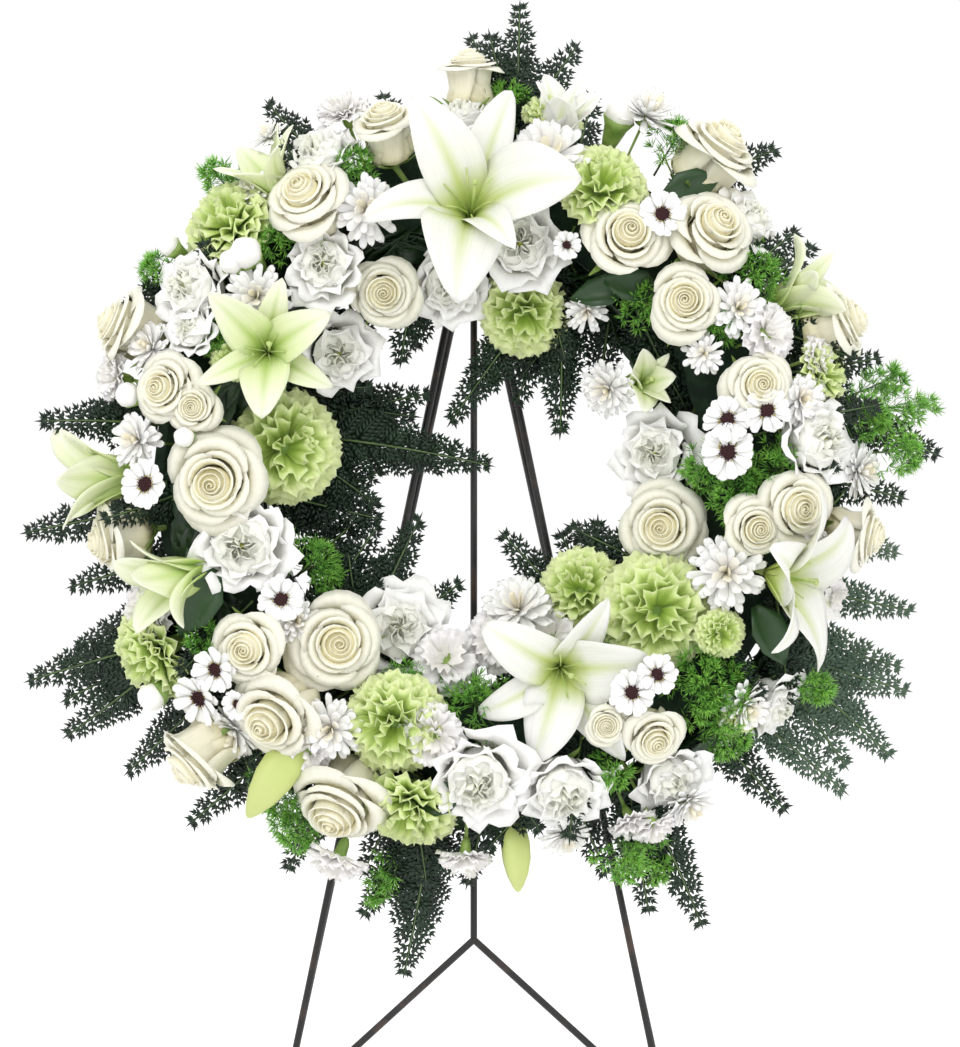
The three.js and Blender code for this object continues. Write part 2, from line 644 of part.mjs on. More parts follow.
const plastic = finish(0x23382b, 0.5);
const floralFoam = finish(0x3c5a35, 0.95);
wreath.add(meshOf('ring_tray', tray, plastic));
wreath.add(meshOf('foam_ring', cutFoam, floralFoam));
for (const [name, solid] of Object.entries(built)) {
  const kind = name.split('_')[0];
  const material = PETAL[kind]?.clone() ?? finish(kind === 'hole' ? GREEN.fern : GREEN.mixed, 0.7);
  wreath.add(meshOf(name, solid, material));
}
for (const [name, solid] of Object.entries(easel)) {
  wreath.add(meshOf(name, solid, finish(0x231f1e, 0.4, 0.6)));
}

// The frame leans back: its own up becomes mostly +Z, and its front faces -Y.
wreath.rotation.x = Math.PI / 2 - lean;
wreath.position.z = CENTRE_TO_FLOOR * Math.cos(lean);
wreath.updateMatrixWorld(true);

// Rubber feet stand flat on the floor, each with a socket for its leg.
const group = new THREE.Group();
group.add(wreath);
function foot(name, end, legSolid) {
  const centre = end.clone().applyMatrix4(wreath.matrixWorld);
  const cap = new THREE.CylinderGeometry(FOOT_RADIUS * 0.8, FOOT_RADIUS, FOOT_HEIGHT, 12);
  cap.rotateX(Math.PI / 2);
  cap.translate(centre.x, centre.y, FOOT_HEIGHT / 2);
  const socket = legSolid.transform(Array.from(wreath.matrixWorld.elements));
  group.add(meshOf(name, largestPiece(solidOf(cap).subtract(socket)), finish(0x161616, 0.85)));
}
const frontFootAt = (side) => at(side * legSpread(legFootHeight), legFootHeight, FRAME_DEPTH);
foot('left_front_foot', frontFootAt(-1), leg(-1, ROD + GAP));
foot('right_front_foot', frontFootAt(1), leg(1, ROD + GAP));
foot('left_rear_foot', rearPlace(-1, rearLength), rearLeg(-1, ROD + GAP));
foot('right_rear_foot', rearPlace(1, rearLength), rearLeg(1, ROD + GAP));

// The origin is under the middle of the whole, on the floor.
const bounds = new THREE.Box3().setFromObject(group, true);
const middle = bounds.getCenter(new THREE.Vector3());
group.position.set(-middle.x, -middle.y, -bounds.min.z);

export default group;
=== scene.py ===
import bpy
import math
import numpy as np
from mathutils import Matrix, Vector


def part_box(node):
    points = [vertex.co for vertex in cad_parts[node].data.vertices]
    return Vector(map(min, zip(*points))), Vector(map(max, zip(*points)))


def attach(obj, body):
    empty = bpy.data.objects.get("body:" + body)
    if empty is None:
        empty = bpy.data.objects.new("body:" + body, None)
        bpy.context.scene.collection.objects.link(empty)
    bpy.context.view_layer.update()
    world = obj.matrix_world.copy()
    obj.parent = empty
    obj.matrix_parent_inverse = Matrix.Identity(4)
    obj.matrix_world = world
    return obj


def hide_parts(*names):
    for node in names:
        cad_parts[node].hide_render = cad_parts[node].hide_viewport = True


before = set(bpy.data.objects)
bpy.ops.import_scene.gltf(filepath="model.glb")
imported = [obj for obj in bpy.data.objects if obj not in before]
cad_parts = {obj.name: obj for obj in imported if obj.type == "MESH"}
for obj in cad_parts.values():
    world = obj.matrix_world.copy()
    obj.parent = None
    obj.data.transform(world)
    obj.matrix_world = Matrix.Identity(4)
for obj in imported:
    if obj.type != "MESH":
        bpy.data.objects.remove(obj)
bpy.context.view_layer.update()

# ------------------------------------------------------------------ the wreath's own plane
# The wreath leans back with the easel's front frame. Places on it are a clock angle (0 to the
# right, 90 at the top), a distance from the ring's centre and a height in front of the tray.
MM = 0.001
LEAN = math.radians(11)
RING_RADIUS = 225 * MM
TRAY_HEIGHT = 22 * MM
CORE_HEIGHT = 20 * MM
BLOOM_REACH = 88 * MM
FRONT_PLANE = 90 * MM
ACROSS = Vector((1, 0, 0))
UP_FRAME = Vector((0, math.sin(LEAN), math.cos(LEAN)))
OUTWARD = Vector((0, -math.cos(LEAN), math.sin(LEAN)))
tray_low, tray_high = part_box("ring_tray")
CENTRE = (Vector(tray_low) + Vector(tray_high)) / 2 - OUTWARD * (TRAY_HEIGHT / 2)
WREATH = Matrix.Translation(CENTRE) @ Matrix((ACROSS, UP_FRAME, OUTWARD)).transposed().to_4x4()


def polar(clock, radius, height):
    angle = math.radians(clock)
    return Vector((math.cos(angle) * radius, math.sin(angle) * radius, height))


def in_world(*points):
    """Points of the wreath's plane as plain world coordinates."""
    return [tuple(WREATH @ point) for point in points]


# ------------------------------------------------------------------ camera
# It stands square to the wreath, so it looks slightly down at the leaning frame.
CAMERA_DISTANCE = 2.1
VIEW_WIDTH = 0.768
VIEW_DROP = -0.0444
VIEW_SIDE = -0.0008
SENSOR = 36
camera = bpy.data.objects.new("camera", bpy.data.cameras.new("camera"))
bpy.context.collection.objects.link(camera)
camera.data.sensor_fit = "HORIZONTAL"
camera.data.sensor_width = SENSOR
camera.data.lens = SENSOR * CAMERA_DISTANCE / VIEW_WIDTH
eye = WREATH @ Vector((VIEW_SIDE, VIEW_DROP, FRONT_PLANE + CAMERA_DISTANCE))
camera.matrix_world = Matrix.Translation(eye) @ Matrix((ACROSS, UP_FRAME, OUTWARD)).transposed().to_4x4()
bpy.context.scene.camera = camera

# ------------------------------------------------------------------ floor and light
# A plain pale floor that runs out of sight, a broad soft light from above and in front, a weak
# one from the right and one from behind, in a bright even room.
FLOOR_HALF = 15.0
FLOOR_WHITE = (0.965, 0.965, 0.965, 1)
ROOM_BRIGHTNESS = 0.92
EXPOSURE = 0.19
LAMPS = [("key", (-0.9, -2.4, 3.4), 1.6, 27), ("fill", (2.2, -1.8, 1.9), 1.6, 6),
         ("back", (0.4, 2.6, 2.6), 1.8, 20)]


def material(name, rough):
    made = bpy.data.materials.new(name)
    made.use_nodes = True
    shader = made.node_tree.nodes["Principled BSDF"]
    shader.inputs["Roughness"].default_value = rough
    return made, made.node_tree, shader


def mesh_object(name, points, faces, finish=None):
    mesh = bpy.data.meshes.new(name)
    mesh.from_pydata([tuple(p) for p in points], [], faces)
    mesh.validate()
    mesh.polygons.foreach_set("use_smooth", [True] * len(mesh.polygons))
    made = bpy.data.objects.new(name, mesh)
    bpy.context.collection.objects.link(made)
    if finish:
        mesh.materials.append(finish)
    return made


floor_finish, _, floor_shader = material("floor_finish", 0.9)
floor_shader.inputs["Base Color"].default_value = FLOOR_WHITE
corners = [(x * FLOOR_HALF, y * FLOOR_HALF, 0) for x, y in ((-1, -1), (1, -1), (1, 1), (-1, 1))]
floor = mesh_object("floor", corners, [(0, 1, 2, 3)], floor_finish)

world = bpy.data.worlds.new("room")
bpy.context.scene.world = world
world.use_nodes = True
air = world.node_tree.nodes["Background"]
air.inputs["Color"].default_value = (1, 1, 1, 1)
air.inputs["Strength"].default_value = ROOM_BRIGHTNESS
for name, place, size, power in LAMPS:
    lamp = bpy.data.lights.new(name, "AREA")
    lamp.size = size
    lamp.energy = power
    light = bpy.data.objects.new(name, lamp)
    light.location = place
    light.rotation_euler = (CENTRE - Vector(place)).to_track_quat("-Z", "Y").to_euler()
    bpy.context.collection.objects.link(light)
bpy.context.scene.view_settings.view_transform = "Standard"
bpy.context.scene.view_settings.exposure = EXPOSURE

# ------------------------------------------------------------------ easel
# A folding easel of 6 mm steel rod, welded, with a bent sheet bracket and two sheet hooks at the
# top. It is dipped in black paint, which has worn to brown on the rods. Rubber feet tip the legs.


def feed(tree, socket, value):
    """Gives an input a plain value, or links it to another node's output."""
    if isinstance(value, bpy.types.NodeSocket):
        tree.links.new(value, socket)
    else:
        socket.default_value = value


def add_node(tree, kind, settings=None, **inputs):
    """Adds a node and returns its outputs. An input is named with _ where it has a space."""
    made = tree.nodes.new(kind)
    for name, value in (settings or {}).items():
        setattr(made, name, value)
    for name, value in inputs.items():
        feed(tree, made.inputs[name.replace("_", " ")], value)
    return made.outputs


def on_object(tree):
    return add_node(tree, "ShaderNodeTexCoord")["Object"]


def noise(tree, where, scale, **more):
    return add_node(tree, "ShaderNodeTexNoise", Vector=where, Scale=scale, **more)["Fac"]


def ramp(tree, factor, *stops):
    """Colours between stops, each a position and a colour, in order."""
    made = tree.nodes.new("ShaderNodeValToRGB")
    elements = made.color_ramp.elements
    for k, (position, color) in enumerate(stops):
        element = elements[k] if k < 2 else elements.new(position)
        element.position = position
        element.color = (*color, 1)
    tree.links.new(factor, made.inputs[0])
    return made.outputs[0]


def skin(tree, shader, color, height, strength, distance):
    """Gives a shader its colour, and a bump of some depth in metres."""
    feed(tree, shader.inputs["Base Color"], color)
    bump = add_node(tree, "ShaderNodeBump", Strength=strength, Distance=distance, Height=height)
    feed(tree, shader.inputs["Normal"], bump[0])


def painted_finish(name, paint, worn, rough, wear, scale=30.0):
    """Paint with soft worn patches that show the brown primer, and a fine orange-peel skin."""
    made, tree, shader = material(name, rough)
    where = on_object(tree)
    patches = noise(tree, where, scale, Detail=6.0, Roughness=0.65)
    color = ramp(tree, patches, (wear, paint), (wear + 0.14, worn))
    skin(tree, shader, color, noise(tree, where, scale * 20), 0.3, 0.0005)
    return made


wire_paint = painted_finish("wire_paint", (0.008, 0.007, 0.007), (0.055, 0.030, 0.020), 0.38, 0.52)
bracket_paint = painted_finish("bracket_paint", (0.010, 0.009, 0.009), (0.045, 0.028, 0.020), 0.42, 0.58)
pin_steel = painted_finish("pin_steel", (0.32, 0.31, 0.30), (0.16, 0.10, 0.07), 0.35, 0.55)
pin_steel.node_tree.nodes["Principled BSDF"].inputs["Metallic"].default_value = 1.0
foot_rubber = painted_finish("foot_rubber", (0.012, 0.012, 0.012), (0.040, 0.038, 0.035), 0.75, 0.5, 80.0)
RODS = ("left_front_leg", "right_front_leg", "brace_wire", "middle_rod", "lower_crossbar", "rear_frame")
SHEET_PARTS = ("top_bracket", "left_hook", "right_hook")
FEET = ("left_front_foot", "right_front_foot", "left_rear_foot", "right_rear_foot")


def dress(finish, *nodes):
    """Gives solids that show as they are their finish."""
    for node in nodes:
        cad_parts[node].data.materials.clear()
        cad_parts[node].data.materials.append(finish)


dress(wire_paint, *RODS)
dress(bracket_paint, *SHEET_PARTS)
dress(pin_steel, "hinge_pin")
dress(foot_rubber, *FEET)

# ------------------------------------------------------------------ tray and foam
# A moulded black-green plastic tray filled with wet floral foam, which is matt and finely porous.
# The foam is coloured near black, darker than wet foam: partly its own dark wet green, partly
# painted shade for the gaps between the flowers. Stems stand in it all over, so only its back and
# floor are seen from behind.
tray_finish = painted_finish("tray_plastic", (0.010, 0.022, 0.014), (0.020, 0.035, 0.024), 0.45, 0.5, 12.0)
# Painted shade: the foam is near black so that it stands for the shade between the flowers.
foam_finish = painted_finish("wet_foam_and_painted_shade", (0.006, 0.020, 0.010), (0.016, 0.040, 0.018), 0.95, 0.45, 55.0)
dress(tray_finish, "ring_tray")
dress(foam_finish, "foam_ring")

# ------------------------------------------------------------------ roses
# Cut roses, white to ivory. Each head is a spiral of thick petals, tight at the heart and rolled
# back at the rim, in a cup of five green sepals, on a stem pushed into the foam.
ROSE_THICKNESS = 0.8 * MM
SEPAL_THICKNESS = 0.9 * MM
STEM_SIDES = 7
STEM_END = CORE_HEIGHT + 12 * MM
ROSE_NECK = 0.55
GREEN = 1  # the material slot of a flower's green parts
PETAL_STEP = 2.399


class Bunch:
    """Closed surfaces gathered into one mesh. Each point keeps a mark: its place across and
    along its petal, and how far out in the flower the petal is. Finishes read the mark."""

    def __init__(self):
        self.points, self.faces, self.marks, self.slots, self.count = [], [], [], [], 0

    def add(self, points, faces, marks, slot):
        self.points.append(points)
        self.faces += [tuple(i + self.count for i in face) for face in faces]
        self.slots += [slot] * len(faces)
        self.marks.append(marks)
        self.count += len(points)

    def blade(self, grid, thickness, place, outness=0.0, slot=0, thin_rim=0.35):
        """A petal or leaf: a grid of points given thickness, thinner at its rim, and closed."""
        rows, columns = grid.shape[:2]
        along = np.gradient(grid, axis=0)
        across = np.gradient(grid, axis=1)
        normal = np.cross(across, along)
        normal /= np.linalg.norm(normal, axis=2, keepdims=True) + 1e-12
        depth = np.full((rows, columns, 1), thickness / 2)
        depth[-1] *= thin_rim
        depth[:, 0] *= thin_rim
        depth[:, -1] *= thin_rim
        front, back = grid + normal * depth, grid - normal * depth
        points = np.concatenate([front.reshape(-1, 3), back.reshape(-1, 3)])
        index = np.arange(rows * columns).reshape(rows, columns)
        low = index + rows * columns
        faces = []
        for a in range(rows - 1):
            for b in range(columns - 1):
                faces.append((index[a, b], index[a, b + 1], index[a + 1, b + 1], index[a + 1, b]))
                faces.append((low[a, b], low[a + 1, b], low[a + 1, b + 1], low[a, b + 1]))
        edge = [*index[0], *index[1:, -1], *index[-1, -2::-1], *index[-2:0:-1, 0]]
        for one, two in zip(edge, edge[1:] + edge[:1]):
            faces.append((two, one, one + rows * columns, two + rows * columns))
        v, u = np.meshgrid(np.linspace(0, 1, rows), np.linspace(0, 1, columns), indexing="ij")
        marks = np.stack([u.ravel(), v.ravel(), np.full(rows * columns, outness)], axis=1)
        self.add(moved(points, place), faces, np.concatenate([marks, marks]), slot)

    def turned(self, profile, sides, place, outness=0.0, slot=0, wave=0.0, lobes=5):
        """A closed body turned about +Z from (radius, height) points, first and last on the axis."""
        points, starts = [], []
        for radius, height in profile:
            starts.append(len(points))
            for i in range(1 if radius == 0 else sides):
                angle = 2 * math.pi * i / sides
                out = radius * (1 + wave * math.cos(lobes * angle))
                points.append((out * math.cos(angle), out * math.sin(angle), height))
        faces = []
        for k in range(len(profile) - 1):
            for i in range(sides):
                j = (i + 1) % sides
                if profile[k][0] == 0:
                    faces.append((starts[k], starts[k + 1] + j, starts[k + 1] + i))
                elif profile[k + 1][0] == 0:
                    faces.append((starts[k] + i, starts[k] + j, starts[k + 1]))
                else:
                    faces.append((starts[k] + i, starts[k] + j, starts[k + 1] + j, starts[k + 1] + i))
        top = profile[-1][1] - profile[0][1]
        marks = np.array([(0.5, (p[2] - profile[0][1]) / (top or 1), outness) for p in points])
        self.add(moved(np.array(points, float), place), faces, marks, slot)

    def tube(self, path, radii, sides, slot=0):
        """A closed tapering tube along a path of points."""
        path = np.array(path, float)
        ahead = np.gradient(path, axis=0)
        points, faces = [], []
        side = np.cross(ahead[0], (0.31, 0.77, 0.55))
        for place, way, radius in zip(path, ahead, radii):
            way = way / np.linalg.norm(way)
            side = side - way * side.dot(way)
            side /= np.linalg.norm(side)
            other = np.cross(way, side)
            for i in range(sides):
                angle = 2 * math.pi * i / sides
                points.append(place + radius * (math.cos(angle) * side + math.sin(angle) * other))
        for k in range(len(path) - 1):
            for i in range(sides):
                j = (i + 1) % sides
                faces.append((k * sides + i, k * sides + j, (k + 1) * sides + j, (k + 1) * sides + i))
        last = (len(path) - 1) * sides
        faces.append(tuple(range(sides - 1, -1, -1)))
        faces.append(tuple(last + i for i in range(sides)))
        along = np.repeat(np.linspace(0, 1, len(path)), sides)
        marks = np.stack([np.full(len(along), 0.5), along, np.zeros(len(along))], axis=1)
        self.add(np.array(points), faces, marks, slot)

    def to_object(self, name, finishes):
        made = mesh_object(name, np.concatenate(self.points), self.faces)
        for finish in finishes:
            made.data.materials.append(finish)
        made.data.polygons.foreach_set("material_index", self.slots)
        mark = made.data.attributes.new("mark", "FLOAT_VECTOR", "POINT")
        mark.data.foreach_set("vector", np.concatenate(self.marks).astype(np.float32).ravel())
        return made


def moved(points, place):
    turn = np.array(place)
    return points @ turn[:3, :3].T + turn[:3, 3]


def petal_grid(rows, columns):
    """How far along (0 to 1) and across (-1 to 1) its petal each point of a grid is."""
    return np.meshgrid(np.linspace(0, 1, rows), np.linspace(-1, 1, columns), indexing="ij")


def spun(x, y, z, angle):
    """A grid turned about +Z by an angle."""
    turned_x = x * math.cos(angle) - y * math.sin(angle)
    return np.stack([turned_x, x * math.sin(angle) + y * math.cos(angle), z], axis=2)


def bloom_place(clock, radius, tilt, roll=0.0, lift=0.0):
    """Where a head sits and which way it faces: on a ring of blooms around the foam's core."""
    radius = radius * MM
    across = radius - RING_RADIUS
    reach = max(BLOOM_REACH, abs(across) + 9 * MM)
    height = CORE_HEIGHT + math.sqrt(reach * reach - across * across) + lift * MM
    facing = polar(clock, math.sin(math.radians(tilt)), math.cos(math.radians(tilt)))
    turn = Vector((0, 0, 1)).rotation_difference(facing).to_matrix().to_4x4()
    spin = Matrix.Rotation(math.radians(roll), 4, "Z")
    return WREATH @ Matrix.Translation(polar(clock, radius, height)) @ turn @ spin


def stem(bunch, place, clock, neck, slot, radius=2.2):
    """From behind the head to the foam, where every stem of one piece meets."""
    start = place @ Vector((0, 0, -neck))
    end = WREATH @ polar(clock, RING_RADIUS, STEM_END)
    bend = place @ Vector((0, 0, -neck - 0.35 * (end - start).length))
    path = [start, start.lerp(bend, 0.6).lerp(end, 0.25), bend.lerp(end, 0.55), end]
    radii = [radius * 1.25 * MM, radius * MM, radius * MM, radius * MM]
    bunch.tube([tuple(p) for p in path], radii, STEM_SIDES, slot)


def sepals(bunch, place, size, slot, count=5, reach=0.42):
    """The green cup under a head, and its pointed sepals laid against the petals."""
    R = size / 2
    cup = [(0, -1.12 * R), (0.16 * R, -1.1 * R), (0.24 * R, -0.98 * R), (0.3 * R, -0.86 * R), (0, -0.8 * R)]
    bunch.turned(cup, 10, place, 0.0, slot)
    for k in range(count):
        angle = 2 * math.pi * k / count + 0.3
        t, s = petal_grid(6, 3)
        width = 0.13 * R * (1 - t) ** 0.7
        r = R * (0.24 + (0.5 + reach) * t ** 0.8) + 0.02 * R * s * s
        z = R * (-0.98 + reach * 1.5 * t ** 1.3 - 0.16 * t ** 4)
        bunch.blade(spun(r, s * width, z, angle), SEPAL_THICKNESS, place, 0.0, slot)


def attribute(tree, name):
    return add_node(tree, "ShaderNodeAttribute", {"attribute_name": name})


def ranged(tree, value, low, high, to_low, to_high):
    """A value between low and high, carried over to between to_low and to_high."""
    limits = {"From_Min": low, "From_Max": high, "To_Min": to_low, "To_Max": to_high}
    return add_node(tree, "ShaderNodeMapRange", Value=value, **limits)[0]


def mixed(tree, blend, factor, one, two):
    settings = {"data_type": "RGBA", "blend_type": blend}
    return add_node(tree, "ShaderNodeMix", settings, Factor=factor, A=one, B=two)["Result"]


def stretched_noise(tree, mark, stretch, **more):
    """Noise drawn out along a petal, for its veins and grooves."""
    return noise(tree, add_node(tree, "ShaderNodeMapping", Vector=mark, Scale=stretch)[0], 1.0, **more)


def let_light_in(shader, weight, reach):
    """Light soaks into thin living skin, each colour as far as its reach in metres."""
    shader.inputs["Subsurface Weight"].default_value = weight
    shader.inputs["Subsurface Radius"].default_value = reach
    shader.inputs["Subsurface Scale"].default_value = 1.0


def petal_finish(name, heart, body, rim, rough=0.5, glow=0.25, heart_reach=0.45, vein=0.5):
    """Petal skin: one colour at the petal's base, one over its body and one at its rim, warmer
    towards the flower's heart, with fine veins along the petal and a soft glow of light. The warmer,
    darker colour at the base and heart is partly the petal's own and partly painted shade and bounce
    light deep in the head."""
    made, tree, shader = material(name, rough)
    mark = attribute(tree, "mark")["Vector"]
    place = add_node(tree, "ShaderNodeSeparateXYZ", Vector=mark)
    along = ramp(tree, place["Y"], (0.0, heart), (heart_reach, body), (1.0, rim))
    outness = ranged(tree, place["Z"], -0.25, 0.55, 0.35, 1.0)
    # Inner petals take the heart colour: partly the flower's own, partly painted shade and bounce light.
    heart_tint_and_painted_shade = mixed(tree, "MIX", outness, (*heart, 1), along)
    veins = stretched_noise(tree, mark, (26, 2.2, 7), Detail=3.0)
    shade = ranged(tree, veins, 0.3, 0.7, 1.0 - 0.10 * vein, 1.0 + 0.04 * vein)
    skin(tree, shader, mixed(tree, "MULTIPLY", 1.0, heart_tint_and_painted_shade, shade), veins, 0.12 + 0.2 * vein, 0.0004)
    let_light_in(shader, glow, (0.006, 0.006, 0.004))
    shader.inputs["Sheen Weight"].default_value = 0.15
    return made


def green_finish(name, dark, light, rough, scale=60.0):
    """Leaf, calyx or stem skin: two greens in soft blotches, with fine grain."""
    made, tree, shader = material(name, rough)
    where = on_object(tree)
    color = ramp(tree, noise(tree, where, scale, Detail=4.0), (0.35, dark), (0.68, light))
    skin(tree, shader, color, noise(tree, where, scale * 12), 0.3, 0.0004)
    return made


def through(t, stops):
    """A smooth curve through values spaced evenly from t = 0 to 1."""
    spans = len(stops) - 1
    k = np.minimum((t * spans).astype(int), spans - 1)
    u = t * spans - k
    padded = np.array([2 * stops[0] - stops[1], *stops, 2 * stops[-1] - stops[-2]])
    a, b, c, d = padded[k], padded[k + 1], padded[k + 2], padded[k + 3]
    return b + 0.5 * u * (c - a + u * (2 * a - 5 * b + 4 * c - d + u * (3 * (b - c) + d - a)))


def clamped(value):
    return min(1, max(0, value))


def eased(t, full):
    """Rises ever more gently from 0 to 1, which it reaches at t = full."""
    return np.sin(np.minimum(t, full) / full * math.pi / 2)


def wrapped(r, angle, z):
    """A grid of points, from how far out, round and up each is."""
    return np.stack([r * np.cos(angle), r * np.sin(angle), z], axis=2)


def rose_head(bunch, place, size, seed, open_up, petals=22):
    """Each petal hugs the one inside it, then flares to its rim. The first dozen close over the
    heart, the last ones are broad, roll right back and come to a point."""
    R = size / 2
    random = np.random.default_rng(seed)
    side_shift = random.uniform(-0.13, 0.13, 2) * R
    for i in range(petals):
        f = i / (petals - 1) * open_up
        flare = clamped((f - 0.36) / 0.5)
        azimuth = i * PETAL_STEP + random.uniform(-0.25, 0.25)
        rows, columns = (8, 8) if f < 0.4 else (10, 10)
        t, s = petal_grid(rows, columns)
        body = R * (0.05 + 0.60 * f - 0.04 * f ** 2)
        rim = body * (0.62 + 0.5 * min(1, f / 0.4)) + R * 0.36 * flare ** 1.5
        rim *= random.uniform(0.96, 1.05)
        top = R * (0.62 - 0.12 * f - 0.42 * f ** 2.4) + random.uniform(-0.03, 0.03) * R
        roll = R * (0.01 + 0.30 * flare ** 1.4) * random.uniform(0.75, 1.2)
        rise = t * (1 - 0.12 * (1 - flare) * np.abs(s) ** 3 - 0.20 * flare * np.abs(s) ** 1.7)
        r = through(rise, [0.08 * R, 0.34 * R + 0.5 * body, body * 1.05, body + 0.30 * (rim - body), rim])
        z = through(rise, [-0.9 * R, -0.62 * R, top - 0.55 * R, top - 0.10 * R, top + 0.06 * R * (1 - flare)])
        lip = np.clip((rise - 0.74) / 0.26, 0, 1)
        z = z - roll * lip ** 2.2 * (0.7 + 0.5 * s * s)
        r = r + 0.35 * roll * lip * (1 - 0.6 * lip) + R * s * (0.032 + 0.04 * flare)
        z = z + R * (0.015 + 0.03 * flare) * np.sin(2.4 * s + 1.7 * i) * lip
        spread = 0.30 + 0.70 * eased(rise, 0.85)
        grid = wrapped(r, azimuth + s * (1.95 - 0.95 * f) * spread, z)
        grid[..., :2] += (1 - f) * side_shift
        bunch.blade(grid, ROSE_THICKNESS, place, f, 0, 0.5)
    heart = [(0, -0.3 * R), (0.30 * R, -0.2 * R), (0.39 * R, 0.2 * R), (0.36 * R, 0.36 * R),
             (0.28 * R, 0.45 * R), (0.16 * R, 0.52 * R), (0, 0.56 * R)]
    bunch.turned(heart, 14, place @ Matrix.Translation((*side_shift, 0)))


# The rose's heart colour is darker and yellower than its rim: partly its own ivory, partly painted shade and
# bounce light.
rose_finish = petal_finish("rose_petal", (0.82, 0.72, 0.34), (0.88, 0.83, 0.58), (0.92, 0.90, 0.75))
# Petals press into their neighbours, so each head is a little wider than its plain solid.
FULLNESS = 1.12 * MM
calyx_finish = green_finish("calyx_green", (0.16, 0.28, 0.05), (0.36, 0.50, 0.13), 0.5)

# Each rose is clock, radius, size, tilt, how open it is. The last group stands in no solid.
ROSES = {
    "rose_1": [(92, 318, 58, 78, 0.8), (106, 282, 60, 58, 0.85)],
    "rose_2": [(53.4, 318, 74, 66, 0.95)],
    "rose_3": [(57.6, 215, 66, 10, 0.9)],
    "rose_4": [(45.5, 264, 66, 34, 1.0), (38.9, 209, 62, 4, 0.85)],
    "rose_5": [(122.8, 255, 66, 36, 1.0), (118.6, 162, 58, -12, 0.9)],
    "rose_6": [(158.1, 308, 68, 72, 0.9), (165.6, 257, 54, 24, 0.95)],
    "rose_7": [(182.4, 210, 74, 4, 1.0)],
    "rose_8": [(190.5, 302, 62, 70, 0.9)],
    "rose_9": [(217.9, 234, 60, 20, 0.95), (230.2, 182, 72, -6, 1.0)],
    "rose_10": [(230.7, 254, 72, 36, 1.0)],
    "rose_11": [(225.1, 326, 72, 74, 0.9)],
    "rose_12": [(246.9, 290, 80, 50, 0.95)],
    "rose_13": [(342.8, 154, 66, -8, 1.0), (347.7, 222, 50, 10, 0.9)],
    "rose_14": [(352.7, 253, 60, 24, 0.95), (16.5, 230, 54, 8, 0.95), (350, 310, 60, 74, 0.85)],
    "rose_15": [(22.3, 312, 66, 74, 0.85)],
    "": [(303, 252, 50, 26, 0.9), (168, 232, 44, 10, 0.85), (296, 226, 40, 10, 0.8)],
}


def turned_clock(blooms):
    """The clock angle where the stems of one piece meet in the foam."""
    angles = [math.radians(bloom[0]) for bloom in blooms]
    return math.degrees(math.atan2(sum(map(math.sin, angles)), sum(map(math.cos, angles))))


for number, (node, blooms) in enumerate(ROSES.items()):
    bunch = Bunch()
    for k, (clock, radius, size, tilt, openness) in enumerate(blooms):
        place = bloom_place(clock, radius, tilt, roll=number * 67 + k * 31)
        rose_head(bunch, place, size * FULLNESS, 100 + number * 7 + k, openness)
        sepals(bunch, place, size * MM, GREEN)
        stem(bunch, place, turned_clock(blooms) if node else clock, ROSE_NECK * size * MM, GREEN)
    piece = bunch.to_object(node + "_bloom" if node else "small_roses", [rose_finish, calyx_finish])
    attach(piece, "front_frame")
    if node:
        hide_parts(node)

# ------------------------------------------------------------------ lilies
# Cut white lilies. Three broad and three narrow petals flare from a green throat and roll back,
# each with a groove along its midrib. Six filaments and a longer style stand in the throat.
LILY_THICKNESS = 1.4 * MM
OPEN_FLARE = 0.95
HALF_FLARE = 0.58
WHITE_PETAL, BUD, GREEN_PETAL = 0, 2, 3  # material slots beside GREEN


